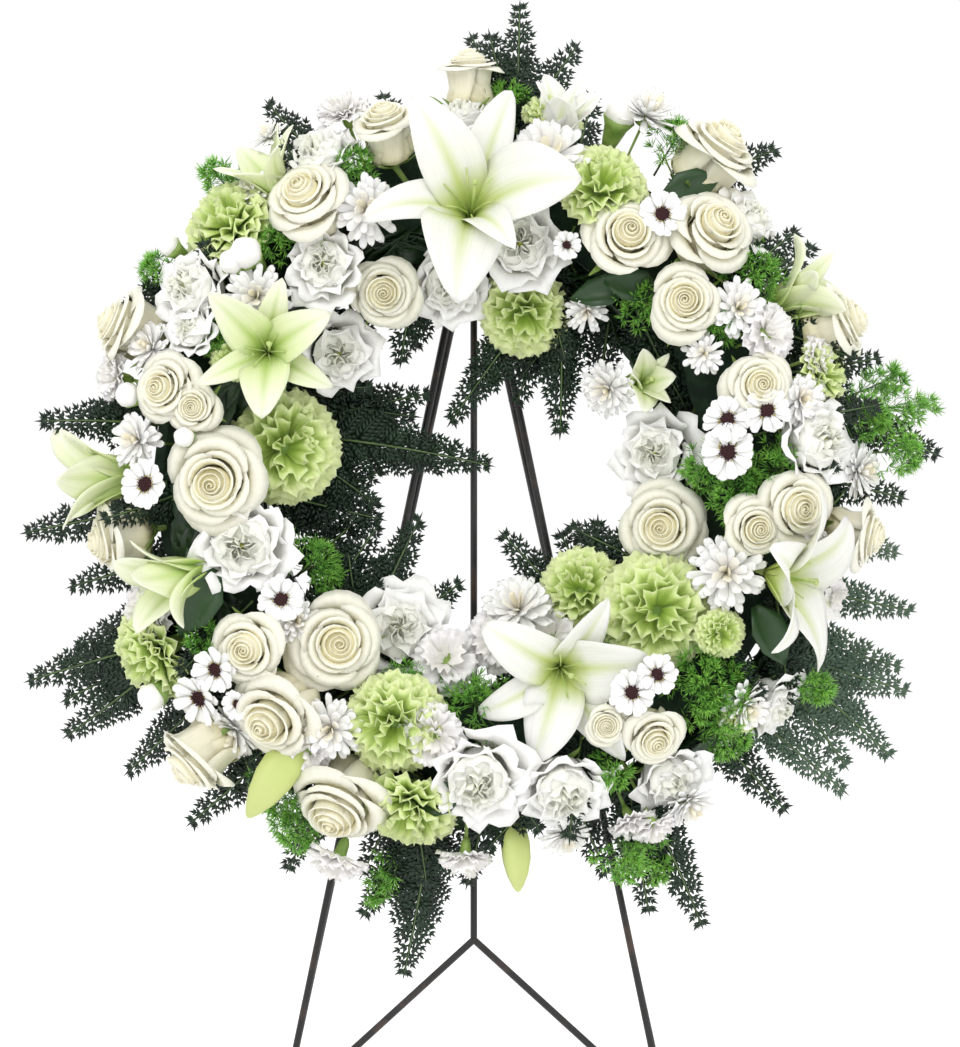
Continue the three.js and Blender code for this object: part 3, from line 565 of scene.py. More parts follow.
def lily_head(bunch, place, size, seed, flare, slot):
    """Six petals, each in its own attitude: some stand up, some roll back or hang."""
    random = np.random.default_rng(seed)
    fully_open = flare == OPEN_FLARE
    length = size * (0.74 if fully_open else 0.66)
    low = -0.55 * length * (0.45 if fully_open else 0.9)
    for i in range(6):
        inner = i % 2 == 0
        rows, columns = 17, 9
        t, s = petal_grid(rows, columns)
        own_flare = flare * random.uniform(0.70, 1.20) * (0.95 if inner else 1.06)
        along = np.linspace(0, 1, rows)
        turn = np.radians(94 - own_flare * (22 + 62 * along ** 0.8 + random.uniform(10, 70) * along ** 3))
        step = length / (rows - 1) * random.uniform(0.9, 1.06)
        azimuth = i * math.pi / 3 + random.uniform(-0.2, 0.2)
        line_r = size * 0.015 + np.concatenate([[0], np.cumsum(np.cos(turn[:-1]) * step)])
        line_z = low + np.concatenate([[0], np.cumsum(np.sin(turn[:-1]) * step)])
        half_width = length * (0.25 if inner else 0.16) * random.uniform(0.85, 1.15)
        width = half_width * (0.10 + 0.90 * np.sin(np.clip(t, 0, 1) ** 0.9 * math.pi) ** 0.8)
        width[-1] = half_width * 0.03
        channel = 0.42 * width * s * s - 0.12 * width * np.exp(-(s / 0.14) ** 2)
        ripple = 0.13 * width * np.sin(8 * t + 2.5 * i + 2 * s) * np.abs(s) ** 2
        fold = channel * (1 - 0.7 * t) + ripple
        r = line_r[:, None] - np.sin(turn)[:, None] * fold * 0.9
        z = line_z[:, None] + np.cos(turn)[:, None] * fold
        twist = random.uniform(-0.9, 0.9) * t ** 1.5
        side = s * width * np.cos(twist) + random.uniform(-0.10, 0.10) * length * t ** 2
        z = z + s * width * np.sin(twist) + (0 if inner else -0.8 * MM)
        bunch.blade(spun(r, side, z, azimuth), LILY_THICKNESS, place, 0.0 if inner else 0.6, slot)
    for i in range(6):
        angle = i * math.pi / 3 + 0.5
        spread = (0.15 if fully_open else 0.05) * length
        tip = (0.36 + 0.05 * math.sin(3 * i)) * length
        path = []
        for k in (0, 0.35, 0.7, 1):
            out = 4 * MM * k + spread * k * k
            path.append((out * math.cos(angle), out * math.sin(angle), low + tip * k))
        radii = [0.8 * MM, 0.7 * MM, 0.6 * MM, 0.7 * MM]
        bunch.tube([tuple(place @ Vector(p)) for p in path], radii, 5, GREEN)
    style = [(0, 0, low), (0.003, 0, low + 0.28 * length), (0.005, 0.002, low + 0.46 * length)]
    bunch.tube([tuple(place @ Vector(p)) for p in style], [1.2 * MM, 1.1 * MM, 1.4 * MM], 6, GREEN)
    bunch.turned([(0, -1.2 * MM), (2.6 * MM, 0), (2.2 * MM, 1.6 * MM), (0, 1.2 * MM)], 9,
                 place @ Matrix.Translation(style[-1]), 0, GREEN, 0.12, 3)


def lily_bud(bunch, place, size, slot):
    """A closed bud: three swollen ribs that taper to a blunt tip."""
    R = size / 2
    profile = [(0, -R), (0.1 * R, -0.97 * R), (0.19 * R, -0.75 * R), (0.25 * R, -0.4 * R),
               (0.3 * R, -0.05 * R), (0.29 * R, 0.3 * R), (0.22 * R, 0.62 * R), (0.12 * R, 0.86 * R),
               (0.05 * R, 0.97 * R), (0, R)]
    bunch.turned(profile, 24, place, 0.0, slot, 0.13, 3)


def maths(tree, operation, *values):
    made = tree.nodes.new("ShaderNodeMath")
    made.operation = operation
    for socket, value in zip(made.inputs, values):
        feed(tree, socket, value)
    return made.outputs[0]


def lily_finish(name, throat, rib, body, rim):
    """Waxy lily petal: green in the throat and along the midrib, white beside it."""
    made, tree, shader = material(name, 0.42)
    mark = attribute(tree, "mark")["Vector"]
    place = add_node(tree, "ShaderNodeSeparateXYZ", Vector=mark)
    along = ramp(tree, place["Y"], (0.0, throat), (0.2, rib), (0.42, body), (1.0, rim))
    off_rib = maths(tree, "ABSOLUTE", maths(tree, "SUBTRACT", place["X"], 0.5))
    near_rib = ranged(tree, off_rib, 0.0, 0.16, 0.85, 0.0)
    near_throat = ranged(tree, place["Y"], 0.35, 0.95, 1.0, 0.15)
    ribbed = mixed(tree, "MIX", maths(tree, "MULTIPLY", near_rib, near_throat), along, (*rib, 1))
    grooves = stretched_noise(tree, mark, (34, 2.0, 5))
    shade = ranged(tree, grooves, 0.3, 0.7, 0.94, 1.02)
    skin(tree, shader, mixed(tree, "MULTIPLY", 1.0, ribbed, shade), grooves, 0.35, 0.0006)
    let_light_in(shader, 0.25, (0.006, 0.007, 0.004))
    return made


white_lily = lily_finish("lily_white", (0.38, 0.50, 0.08), (0.55, 0.66, 0.20),
                         (0.83, 0.84, 0.75), (0.85, 0.85, 0.80))
green_lily = lily_finish("lily_green", (0.30, 0.45, 0.08), (0.42, 0.58, 0.14),
                         (0.68, 0.78, 0.40), (0.86, 0.88, 0.70))
bud_finish = lily_finish("lily_bud", (0.32, 0.46, 0.10), (0.50, 0.60, 0.18),
                         (0.62, 0.68, 0.26), (0.55, 0.60, 0.24))
filament_finish = green_finish("filament_green", (0.35, 0.48, 0.12), (0.62, 0.70, 0.30), 0.45)

# Each lily is clock, radius, size, tilt, form, roll, and whether it is still green.
LILIES = {
    "lily_1": [(92.4, 211, 162, 22, "open", 8, False), (77, 290, 96, 70, "half", 0, False)],
    "lily_2": [(126, 292, 110, 75, "half", 20, True)],
    "lily_3": [(151.4, 194, 108, 0, "open", 25, True)],
    "lily_4": [(291.7, 176, 128, 12, "open", 12, False), (275, 306, 78, 68, "bud", 0, True)],
    "lily_5": [(339.9, 262, 130, 58, "open", 40, False)],
    "lily_6": [(181.5, 312, 132, 78, "half", 0, True), (200, 264, 118, 66, "half", 30, True)],
    "lily_7": [(28.9, 298, 116, 66, "half", 10, True), (27.8, 151, 70, 20, "half", 0, True)],
    "lily_8": [(236.3, 285, 104, 72, "bud", 0, True)],
}
NECKS = {"open": 0.17, "half": 0.31, "bud": 0.46}
for number, (node, blooms) in enumerate(LILIES.items()):
    bunch = Bunch()
    for k, (clock, radius, size, tilt, form, roll, green) in enumerate(blooms):
        place = bloom_place(clock, radius, tilt, roll, 6)
        if form == "bud":
            lily_bud(bunch, place, size * MM, BUD)
        else:
            flare = OPEN_FLARE if form == "open" else HALF_FLARE
            slot = GREEN_PETAL if green else WHITE_PETAL
            lily_head(bunch, place, size * MM, 300 + number * 5 + k, flare, slot)
        stem(bunch, place, turned_clock(blooms), NECKS[form] * size * MM, GREEN, 2.6)
    piece = bunch.to_object(node + "_bloom", [white_lily, filament_finish, bud_finish, green_lily])
    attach(piece, "front_frame")
    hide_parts(node)

# ------------------------------------------------------------------ lisianthus
# Double lisianthus: thin white petals in three loose whorls with waved rims, green where they
# join, around a small yellow-green knot of stigmas.
LISIANTHUS_THICKNESS = 0.7 * MM
LISIANTHUS_NECK = 0.46


def arc(t, a, b, c, d):
    """A smooth arc from a to d that sets out towards b and arrives from c."""
    one, two = 1 - t, t
    return one ** 3 * a + 3 * one ** 2 * two * b + 3 * one * two ** 2 * c + two ** 3 * d


def toothed(t, even, odd):
    """Saw teeth along a petal's tip: one value at every other point, one between them."""
    return np.where(np.arange(t.shape[1]) % 2 == 0, even, odd)[None, :] * (t > 0.99)


def lisianthus_head(bunch, place, size, seed, petals=18):
    R = size / 2
    random = np.random.default_rng(seed)
    for i in range(petals):
        f = i / (petals - 1)
        azimuth = i * PETAL_STEP + random.uniform(-0.3, 0.3)
        t, s = petal_grid(8, 11)
        rim = R * (0.04 + 0.42 * f + 0.44 * f ** 2) * random.uniform(0.9, 1.1)
        top = R * (0.34 - 0.02 * f - 0.30 * f ** 2) + random.uniform(-0.05, 0.05) * R
        belly = R * (0.14 + 0.46 * f) + 0.05 * R * math.sin(3 * i)
        rise = t * (1 - 0.10 * np.abs(s) ** 3)
        r = arc(rise, 0.08 * R, R * (0.26 + 0.4 * f), belly, rim)
        z = arc(rise, -0.8 * R, -0.7 * R, top - R * (0.32 - 0.14 * f), top)
        waves = random.uniform(1.9, 2.9)
        phase = random.uniform(0, 6.28)
        lip = np.clip((rise - 0.5) / 0.5, 0, 1)
        ruffle = np.sin(waves * math.pi * s + phase) * lip ** 2
        fringe = toothed(t, 1.0, -1.0)
        r = r + 0.095 * R * ruffle + 0.03 * R * fringe + (0.04 + 0.10 * f) * R * lip ** 3
        z = z + 0.075 * R * np.cos(waves * math.pi * s + phase) * lip ** 2 - 0.10 * f * R * lip ** 4
        half_angle = 1.35 - 0.42 * f
        angle = azimuth + s * half_angle * (0.3 + 0.7 * eased(rise, 0.85))
        bunch.blade(wrapped(r, angle, z), LISIANTHUS_THICKNESS, place, f)
    knot = [(0, -0.4 * R), (0.04 * R, -0.38 * R), (0.06 * R, 0.08 * R), (0.03 * R, 0.16 * R), (0, 0.16 * R)]
    bunch.turned(knot, 12, place, 0.0, 2, 0.25, 2)
    heart = [(0, -0.5 * R), (0.4 * R, -0.35 * R), (0.52 * R, 0.0), (0.34 * R, 0.10 * R), (0, 0.02 * R)]
    bunch.turned(heart, 14, place, 0.3)


lisianthus_finish = petal_finish("lisianthus_petal", (0.76, 0.80, 0.50), (0.96, 0.955, 0.91),
                                 (0.97, 0.965, 0.94), 0.55, 0.1, 0.4)
stigma_finish = green_finish("stigma_yellow", (0.45, 0.48, 0.06), (0.70, 0.68, 0.14), 0.6, 300.0)

# Clock, radius, size and tilt of each head. The last group stands in no solid of its own.
LISIANTHUS = {
    "lisianthus_1": [(117.3, 285, 66, 48), (127.7, 204, 66, 8)],
    "lisianthus_2": [(99.5, 150, 68, -18), (80.1, 181, 74, 0)],
    "lisianthus_3": [(148.3, 274, 72, 38), (141.3, 149, 68, -16)],
    "lisianthus_4": [(198.1, 200, 82, 4), (243.2, 147, 82, -16)],
    "lisianthus_5": [(5.2, 142, 72, -18), (4.7, 272, 78, 40)],
    "lisianthus_6": [(269.5, 250, 84, 22), (284.5, 268, 78, 34)],
    "": [(154.5, 256, 50, 30), (320.9, 308, 62, 60), (42.7, 298, 60, 56), (301.3, 294, 62, 46),
         (92.9, 285, 52, 60)],
}
for number, (node, blooms) in enumerate(LISIANTHUS.items()):
    bunch = Bunch()
    for k, (clock, radius, size, tilt) in enumerate(blooms):
        place = bloom_place(clock, radius, tilt, roll=number * 50 + k * 80)
        lisianthus_head(bunch, place, size * FULLNESS, 500 + number * 5 + k)
        sepals(bunch, place, size * MM * 0.8, GREEN, 5, 0.2)
        stem(bunch, place, turned_clock(blooms) if node else clock, LISIANTHUS_NECK * size * MM, GREEN, 1.6)
    name = node + "_bloom" if node else "small_lisianthus"
    piece = bunch.to_object(name, [lisianthus_finish, calyx_finish, stigma_finish])
    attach(piece, "front_frame")
    if node:
        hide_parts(node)

# ------------------------------------------------------------------ carnations
# Lime-green standard carnations and small white spray carnations. Dozens of crimped petals with
# saw-toothed rims are packed in a tube of green calyx.
CARNATION_THICKNESS = 0.6 * MM
CARNATION_NECK = 0.48
FULL_PETALS = 42
SMALL_PETALS = 28
SPRAY_PETALS = 18


def carnation_head(bunch, place, size, seed, petals):
    R = size / 2
    random = np.random.default_rng(seed)
    for i in range(petals):
        f = math.sqrt((i + 0.5) / petals)
        polar_angle = f * math.radians(96)
        azimuth = i * PETAL_STEP + random.uniform(-0.2, 0.2)
        t, s = petal_grid(5, 11)
        reach = R * random.uniform(0.9, 1.04)
        out = t + toothed(t, 0.0, -0.06) - 0.12 * np.abs(s) ** 3 * t
        waves = s * math.pi * random.uniform(2.2, 3.4) + random.uniform(0, 6.28)
        crimp = np.sin(waves) * 0.10 * R * t ** 2
        out_part = math.sin(polar_angle)
        along = np.array([out_part * math.cos(azimuth), out_part * math.sin(azimuth), math.cos(polar_angle)])
        spin = azimuth + math.pi / 2 + random.uniform(-0.7, 0.7)
        across = np.array([math.cos(spin), math.sin(spin), 0])
        across -= along * across.dot(along)
        across /= np.linalg.norm(across)
        normal = np.cross(along, across)
        centre = np.array([0, 0, -0.5 * R])
        tip = along * reach - centre * 0.62
        width = R * (0.28 + 0.2 * f) * eased(t, 0.9) ** 1.4
        width = width * random.uniform(0.85, 1.15)
        droop = -0.12 * R * f * t ** 3
        grid = centre + out[..., None] * (tip * [1, 1, 0.72]) + (s * width)[..., None] * across
        grid = grid + (crimp + 0.05 * R * s * s)[..., None] * normal
        grid[..., 2] += droop
        bunch.blade(grid, CARNATION_THICKNESS, place, f)
    calyx = [(0, -1.0 * R), (0.1 * R, -0.98 * R), (0.17 * R, -0.8 * R), (0.2 * R, -0.42 * R),
             (0.26 * R, -0.3 * R), (0, -0.22 * R)]
    bunch.turned(calyx, 12, place, 0.0, GREEN, 0.06, 5)


carnation_finish = petal_finish("carnation_green", (0.38, 0.54, 0.07), (0.60, 0.77, 0.20),
                                (0.83, 0.93, 0.46), 0.6, 0.15, 0.6, 1.0)
spray_finish = petal_finish("spray_white", (0.82, 0.78, 0.64), (0.95, 0.93, 0.91),
                            (0.97, 0.95, 0.94), 0.6, 0.1, 0.3, 0.8)

# Clock, radius, size and tilt of each head. The last group stands in no solid of its own.
CARNATIONS = {
    "carnation_1": [(135.7, 292, 78, 52)],
    "carnation_2": [(66.5, 249, 72, 30), (74.8, 128, 70, -24)],
    "carnation_3": [(173.6, 158, 86, -12), (209.5, 316, 74, 66)],
    "carnation_4": [(309.8, 124, 66, -20), (320.7, 182, 90, 0)],
    "carnation_5": [(251.1, 220, 80, 20), (258.1, 288, 76, 56)],
    "": [(78.6, 296, 48, 66), (16, 292, 52, 60), (156.6, 217, 34, 10), (325.4, 234, 38, 20),
         (316.3, 292, 36, 50)],
}
for number, (node, blooms) in enumerate(CARNATIONS.items()):
    bunch = Bunch()
    for k, (clock, radius, size, tilt) in enumerate(blooms):
        place = bloom_place(clock, radius, tilt, roll=number * 40 + k * 70)
        petals = FULL_PETALS if size > 60 else SMALL_PETALS
        carnation_head(bunch, place, size * FULLNESS, 700 + number * 5 + k, petals)
        stem(bunch, place, turned_clock(blooms) if node else clock, CARNATION_NECK * size * MM, GREEN, 1.8)
    name = node + "_bloom" if node else "small_green_carnations"
    piece = bunch.to_object(name, [carnation_finish, calyx_finish])
    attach(piece, "front_frame")
    if node:
        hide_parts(node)

SPRAY_CARNATIONS = [(203.6, 298, 50, 50), (165.7, 312, 40, 66), (259.4, 156, 52, -12),
                    (274.7, 138, 50, -16), (293, 148, 48, -12), (259.7, 219, 50, 18),
                    (249.9, 344, 48, 84), (267.7, 322, 42, 78), (293, 317, 38, 72),
                    (295.8, 327, 36, 78), (25.5, 256, 46, 30), (111, 317, 42, 66), (347, 274, 34, 40),
                    (238.5, 269, 36, 34), (18.4, 290, 34, 60), (339.8, 306, 36, 62)]
bunch = Bunch()
for k, (clock, radius, size, tilt) in enumerate(SPRAY_CARNATIONS):
    place = bloom_place(clock, radius, tilt, roll=k * 55, lift=4)
    carnation_head(bunch, place, size * FULLNESS, 800 + k, SPRAY_PETALS)
    stem(bunch, place, clock, CARNATION_NECK * size * MM, GREEN, 1.3)
piece = bunch.to_object("spray_carnations", [spray_finish, calyx_finish])
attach(piece, "front_frame")

# ------------------------------------------------------------------ leatherleaf ferns
# Dark fern fronds, cut short and pushed into the foam: some fill the hole, some stand out behind
# the flowers all round. A wiry stalk carries pairs of side leaves, each a row of small leaflets.
PAIR_STEP = 8 * MM
LEAFLET_STEP = 4.6 * MM
LEAFLET_THICKNESS = 0.6 * MM


def small_shape(name, middle, around, droop=0.0):
    """A small closed blade for scattering, along +Y: a base, a tip, and the points round its
    widest place, each as (across, up)."""
    points = [(0, 0, 0), *[(x, middle, z) for x, z in around], (0, 1, -droop)]
    sides = len(around)
    faces = []
    for i in range(sides):
        one, two = 1 + i, 1 + (i + 1) % sides
        faces += [(0, one, two), (sides + 1, two, one)]
    made = mesh_object(name, points, [face[::-1] for face in faces])
    mark = made.data.attributes.new("mark", "FLOAT_VECTOR", "POINT")
    marks = np.array([(x + 0.5, y, 0) for x, y, z in points], np.float32)
    mark.data.foreach_set("vector", marks.ravel())
    return made


class Spray:
    """Places, turns and sizes of one small shape, with a tone for each, and their stalks."""

    def __init__(self):
        self.places, self.turns, self.sizes, self.tones = [], [], [], []
        self.stalks = Bunch()

    def leaf(self, place, ahead, face, width, length, thickness, tone):
        ahead = ahead.normalized()
        side = ahead.cross(face).normalized()
        turn = Matrix((side, ahead, side.cross(ahead))).transposed()
        self.places.append(WREATH @ place)
        self.turns.append((WREATH.to_3x3() @ turn).to_euler())
        self.sizes.append((width, length, thickness))
        self.tones.append(tone)


def spray_tree():
    """Puts a shape on every point with the point's own turn and size, then joins the stalks."""
    tree = bpy.data.node_groups.new("spray", "GeometryNodeTree")
    sockets = {"Points": "Geometry", "Shape": "Object", "Stalks": "Object", "Size": "Float",
               "Finish": "Material"}
    for name, kind in sockets.items():
        tree.interface.new_socket(name, in_out="INPUT", socket_type="NodeSocket" + kind)
    tree.interface.items_tree["Size"].default_value = 1.0
    tree.interface.new_socket("Mesh", in_out="OUTPUT", socket_type="NodeSocketGeometry")
    source = add_node(tree, "NodeGroupInput")
    shape = add_node(tree, "GeometryNodeObjectInfo", Object=source["Shape"])["Geometry"]
    stalks = add_node(tree, "GeometryNodeObjectInfo", Object=source["Stalks"])["Geometry"]
    vector = {"data_type": "FLOAT_VECTOR"}
    turn = add_node(tree, "GeometryNodeInputNamedAttribute", vector, Name="turn")["Attribute"]
    size = add_node(tree, "GeometryNodeInputNamedAttribute", vector, Name="size")["Attribute"]
    scale = {"operation": "SCALE"}
    grown = add_node(tree, "ShaderNodeVectorMath", scale, Vector=size, Scale=source["Size"])[0]
    copies = add_node(tree, "GeometryNodeInstanceOnPoints", Points=source["Points"], Instance=shape,
                      Rotation=turn, Scale=grown)["Instances"]
    real = add_node(tree, "GeometryNodeRealizeInstances", Geometry=copies)["Geometry"]
    dressed = add_node(tree, "GeometryNodeSetMaterial", Geometry=real, Material=source["Finish"])
    joined = tree.nodes.new("GeometryNodeJoinGeometry")
    for part in (stalks, dressed["Geometry"]):
        tree.links.new(part, joined.inputs["Geometry"])
    add_node(tree, "NodeGroupOutput", Mesh=joined.outputs["Geometry"])
    return tree


SPRAY_TREE = spray_tree()


def scatter(name, spray, shape, finish, stalk_skin):
    """Runs the tree on a spray's points and keeps the plain mesh that comes out."""
    stalk_object = spray.stalks.to_object(name + "_stalks", [stalk_skin])
    carrier = mesh_object(name + "_points", spray.places, [])
    for label, values in [("turn", spray.turns), ("size", spray.sizes)]:
        layer = carrier.data.attributes.new(label, "FLOAT_VECTOR", "POINT")
        layer.data.foreach_set("vector", np.array([tuple(v) for v in values], np.float32).ravel())
    layer = carrier.data.attributes.new("tone", "FLOAT", "POINT")
    layer.data.foreach_set("value", np.array(spray.tones, np.float32))
    grow = carrier.modifiers.new("spray", "NODES")
    grow.node_group = SPRAY_TREE
    sockets = {item.name: item.identifier for item in SPRAY_TREE.interface.items_tree}
    for label, value in [("Shape", shape), ("Stalks", stalk_object), ("Finish", finish), ("Size", 1.0)]:
        grow[sockets[label]] = value
    bpy.context.view_layer.update()
    grown = carrier.evaluated_get(bpy.context.evaluated_depsgraph_get())
    mesh = bpy.data.meshes.new_from_object(grown)
    mesh.name = name
    made = bpy.data.objects.new(name, mesh)
    bpy.context.collection.objects.link(made)
    bpy.data.objects.remove(carrier)
    bpy.data.objects.remove(stalk_object)
    return made


def leaf_finish(name, dark, light, rough, glow=0.0):
    """Leaf skin that differs a little from leaf to leaf, in soft blotches, with fine grain."""
    made, tree, shader = material(name, rough)
    where = on_object(tree)
    blotch = maths(tree, "MULTIPLY_ADD", noise(tree, where, 90.0, Detail=4.0), 0.8, -0.25)
    tone = maths(tree, "MULTIPLY_ADD", attribute(tree, "tone")["Fac"], 0.7, blotch)
    color = ramp(tree, tone, (0.0, dark), (1.0, light))
    skin(tree, shader, color, noise(tree, where, 900.0), 0.35, 0.0004)
    if glow:
        let_light_in(shader, glow, (0.002, 0.004, 0.001))
    return made


def frond(spray, root, heading, length, width, rise, droop, seed, tone=0.5):
    """One fern frond in the wreath's plane: a stalk that rises or droops, with side leaves that
    shorten towards the tip, and leaflets in two rows on each. A blade fills in along the stalk."""
    random = np.random.default_rng(seed)
    way = polar(heading, 1, 0)
    left = Vector((-way.y, way.x, 0))
    bend = random.uniform(-0.08, 0.08) * length
    tilt = math.radians(random.uniform(-24, 24))

    def on_stalk(t):
        return root + way * length * t + left * bend * t * t + Vector((0, 0, rise * t - droop * t * t))

    stations = np.linspace(0, 1, 7)
    spray.stalks.tube(in_world(*map(on_stalk, stations)), [(1.3 - 0.9 * t) * MM for t in stations], 5)
    pairs = max(8, int(length / PAIR_STEP))
    for k in range(pairs + 1):
        t = 0.10 + 0.88 * k / pairs
        at = on_stalk(t)
        ahead = (on_stalk(min(t + 0.02, 1)) - on_stalk(t - 0.02)).normalized()
        across = ahead.cross(Vector((0, 0, 1))).normalized()
        face = across.cross(ahead)
        across = across * math.cos(tilt) + face * math.sin(tilt)
        face = across.cross(ahead).normalized()
        reach = 0.5 * width * (1 - t ** 1.5) * min(1, 0.62 + 1.6 * t) + 4 * MM
        blade = (6.5 - 3.5 * t) * MM
        spray.leaf(at - ahead * 4 * MM, ahead, face, blade, 15 * MM, LEAFLET_THICKNESS, tone)
        for side in (-1, 1):
            own = reach * random.uniform(0.86, 1.1)
            start = at + ahead * random.uniform(-1.5, 1.5) * MM
            axis = across * side + ahead * (0.5 + 0.35 * t) + face * random.uniform(-0.28, 0.16)
            axis.normalize()
            cross = axis.cross(face).normalized()
            shade = clamped(tone + random.uniform(-0.3, 0.3))
            spray.leaf(start, axis, face, 3.0 * MM, own, 0.9 * MM, shade)
            count = max(2, int(own / LEAFLET_STEP))
            for n in range(count):
                u = (n + 0.6) / count
                long = (4.2 + 8.0 * (1 - u) ** 0.7 * min(1, own / (22 * MM))) * MM
                for hand in (-1, 1):
                    lean = (axis * 1.15 + cross * hand + face * random.uniform(-0.2, 0.15)).normalized()
                    spray.leaf(start + axis * own * u * 0.93, lean, face, long * 0.46, long,
                               LEAFLET_THICKNESS, clamped(shade + random.uniform(-0.1, 0.1)))
            spray.leaf(start + axis * own * 0.86, axis, face, 2.6 * MM, 6.5 * MM, LEAFLET_THICKNESS, shade)


leaflet = small_shape("leaflet", 0.34, [(0.5, 0), (0, 0.5), (-0.5, 0), (0, -0.4)], 0.2)
fern_finish = leaf_finish("fern_dark", (0.003, 0.012, 0.006), (0.014, 0.044, 0.017), 0.45)
stalk_finish = green_finish("stalk_green", (0.05, 0.09, 0.02), (0.12, 0.20, 0.06), 0.5)

# Root clock, then heading, length, width, droop and rise of each frond of the piece.
HOLE_FERNS = {
    "hole_fern_1": (170, [(-4, 178, 84, 8, 4), (50, 96, 50, 8, 10), (-32, 100, 56, 10, 0),
                          (18, 130, 60, 22, 0)]),
    "hole_fern_2": (68, [(232, 150, 62, 10, 6), (272, 130, 56, 10, 10), (252, 110, 60, 24, 0)]),
    "hole_fern_3": (236, [(68, 112, 60, 10, 6), (28, 92, 50, 10, 6), (100, 80, 50, 14, 6)]),
    "hole_fern_4": (304, [(128, 118, 60, 10, 6), (92, 100, 54, 10, 6), (152, 84, 50, 14, 0)]),
}
HOLE_ROOT = (174 * MM, 34 * MM)
HOLE_FOOT = 192 * MM
FOOT_HEIGHT = 26 * MM
FOOT_THICK = 1.5 * MM


def rooted(spray, clock, root, foot):
    """Where a piece's fronds grow from, with a stout foot from there down into the foam."""
    root = polar(clock, *root)
    spray.stalks.tube(in_world(root, polar(clock, foot, FOOT_HEIGHT)), [FOOT_THICK, FOOT_THICK], 6)
    return root


for number, (node, (clock, fronds)) in enumerate(HOLE_FERNS.items()):
    spray = Spray()
    root = rooted(spray, clock, HOLE_ROOT, HOLE_FOOT)
    for k, (heading, length, width, droop, rise) in enumerate(fronds):
        seed = 900 + number * 9 + k
        frond(spray, root, heading, length * MM, width * MM, rise * MM, droop * MM, seed)
    piece = scatter(node + "_fronds", spray, leaflet, fern_finish, stalk_finish)
    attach(piece, "front_frame")
    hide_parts(node)

# ------------------------------------------------------------------ outer foliage
# Fern tips and feathery asparagus plumes that stand out round the rim. A plume is a fine green
# stem with short twigs, each ending in a tuft of soft needles.
NEEDLES_A_TUFT = 13
NEEDLE_THICKNESS = 0.9 * MM


def plume(spray, root, tip, spread, seed, tufts=None):
    """A feathery plume from its root to its tip, as wide as spread."""
    random = np.random.default_rng(seed)
    line = tip - root
    thick = [1.0 * MM, 0.8 * MM, 0.4 * MM]
    spray.stalks.tube(in_world(root, root + line * 0.5, root + line * 0.92), thick, 5)
    ahead = line.normalized()
    side = ahead.orthogonal().normalized()
    other = ahead.cross(side)
    tufts = tufts or int(16 + 52000 * line.length * spread / 6)
    for _ in range(tufts):
        along = 0.3 + 0.7 * math.sqrt(random.uniform(0, 1))
        angle = random.uniform(0, 2 * math.pi)
        out = side * math.cos(angle) + other * math.sin(angle)
        bulge = 0.5 * spread * math.sin(min(1.0, (1.12 - along) / 0.6) * math.pi / 2)
        far = bulge * math.sqrt(random.uniform(0.15, 1))
        base = root + line * (along - 0.14)
        head = root + line * along + out * far
        spray.leaf(base, head - base, ahead.orthogonal(), 0.7 * MM, (head - base).length, 0.7 * MM, 0.25)
        grow = (head - base).normalized() + ahead * 0.2
        shade = random.uniform(0.2, 1)
        for _ in range(NEEDLES_A_TUFT):
            way = Vector(random.normal(0, 1, 3)).normalized() + grow * 0.75
            face = Vector((0, 0, 1)) + way.orthogonal() * 0.1
            spray.leaf(head, way, face, NEEDLE_THICKNESS, random.uniform(6.5, 11) * MM, NEEDLE_THICKNESS,
                       clamped(shade + random.uniform(-0.2, 0.2)))


needle = small_shape("needle", 0.5, [(0.5, -0.3), (0, 0.6), (-0.5, -0.3)])
plume_finish = leaf_finish("plume_green", (0.05, 0.24, 0.022), (0.28, 0.66, 0.08), 0.55, 0.2)
grey_fern_finish = leaf_finish("fern_grey_green", (0.025, 0.060, 0.038), (0.10, 0.165, 0.10), 0.55)

# Root clock, fern fronds (heading, length, width), then plumes (heading, length, spread).
OUTER_FOLIAGE = {
    "outer_foliage_1": (84, [(88, 110, 46), (112, 92, 44), (58, 92, 44)], []),
    "outer_foliage_2": (10, [(-14, 112, 48)], [(3, 104, 40), (22, 82, 34)]),
    "outer_foliage_3": (328, [(342, 124, 56), (322, 138, 58), (304, 120, 50)], []),
    "outer_foliage_4": (296, [(300, 142, 54), (276, 118, 52)], [(286, 96, 34)]),
    "outer_foliage_5": (262, [(262, 146, 74), (240, 112, 52)], [(238, 98, 34)]),
    "outer_foliage_6": (210, [(192, 140, 60), (222, 132, 62), (206, 118, 50)], []),
}
GREY_NODE = "outer_foliage_3"
OUTER_ROOT = (276 * MM, 30 * MM)
OUTER_FOOT = 258 * MM
for number, (node, (clock, fronds, plumes)) in enumerate(OUTER_FOLIAGE.items()):
    spray = Spray()
    root = rooted(spray, clock, OUTER_ROOT, OUTER_FOOT)
    for k, (heading, length, width) in enumerate(fronds):
        seed = 1000 + number * 9 + k
        frond(spray, root, heading, length * MM, width * MM, -12 * MM, 12 * MM, seed)
    finish = grey_fern_finish if node == GREY_NODE else fern_finish
    piece = scatter(node + "_fronds", spray, leaflet, finish, stalk_finish)
    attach(piece, "front_frame")
    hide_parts(node)
    if plumes:
        spray = Spray()
        for k, (heading, length, spread) in enumerate(plumes):
            tip = root + polar(heading, length * MM, -14 * MM)
            plume(spray, root, tip, spread * MM, 1100 + number * 9 + k)
        piece = scatter(node + "_plumes", spray, needle, plume_finish, stalk_finish)
        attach(piece, "front_frame")

# ------------------------------------------------------------------ greens over the foam
# Rose leaves and short fern tips pushed in close together, so that no foam shows between the
# flowers. They lie over the foam from its outer wall, across its front, to its inner wall.


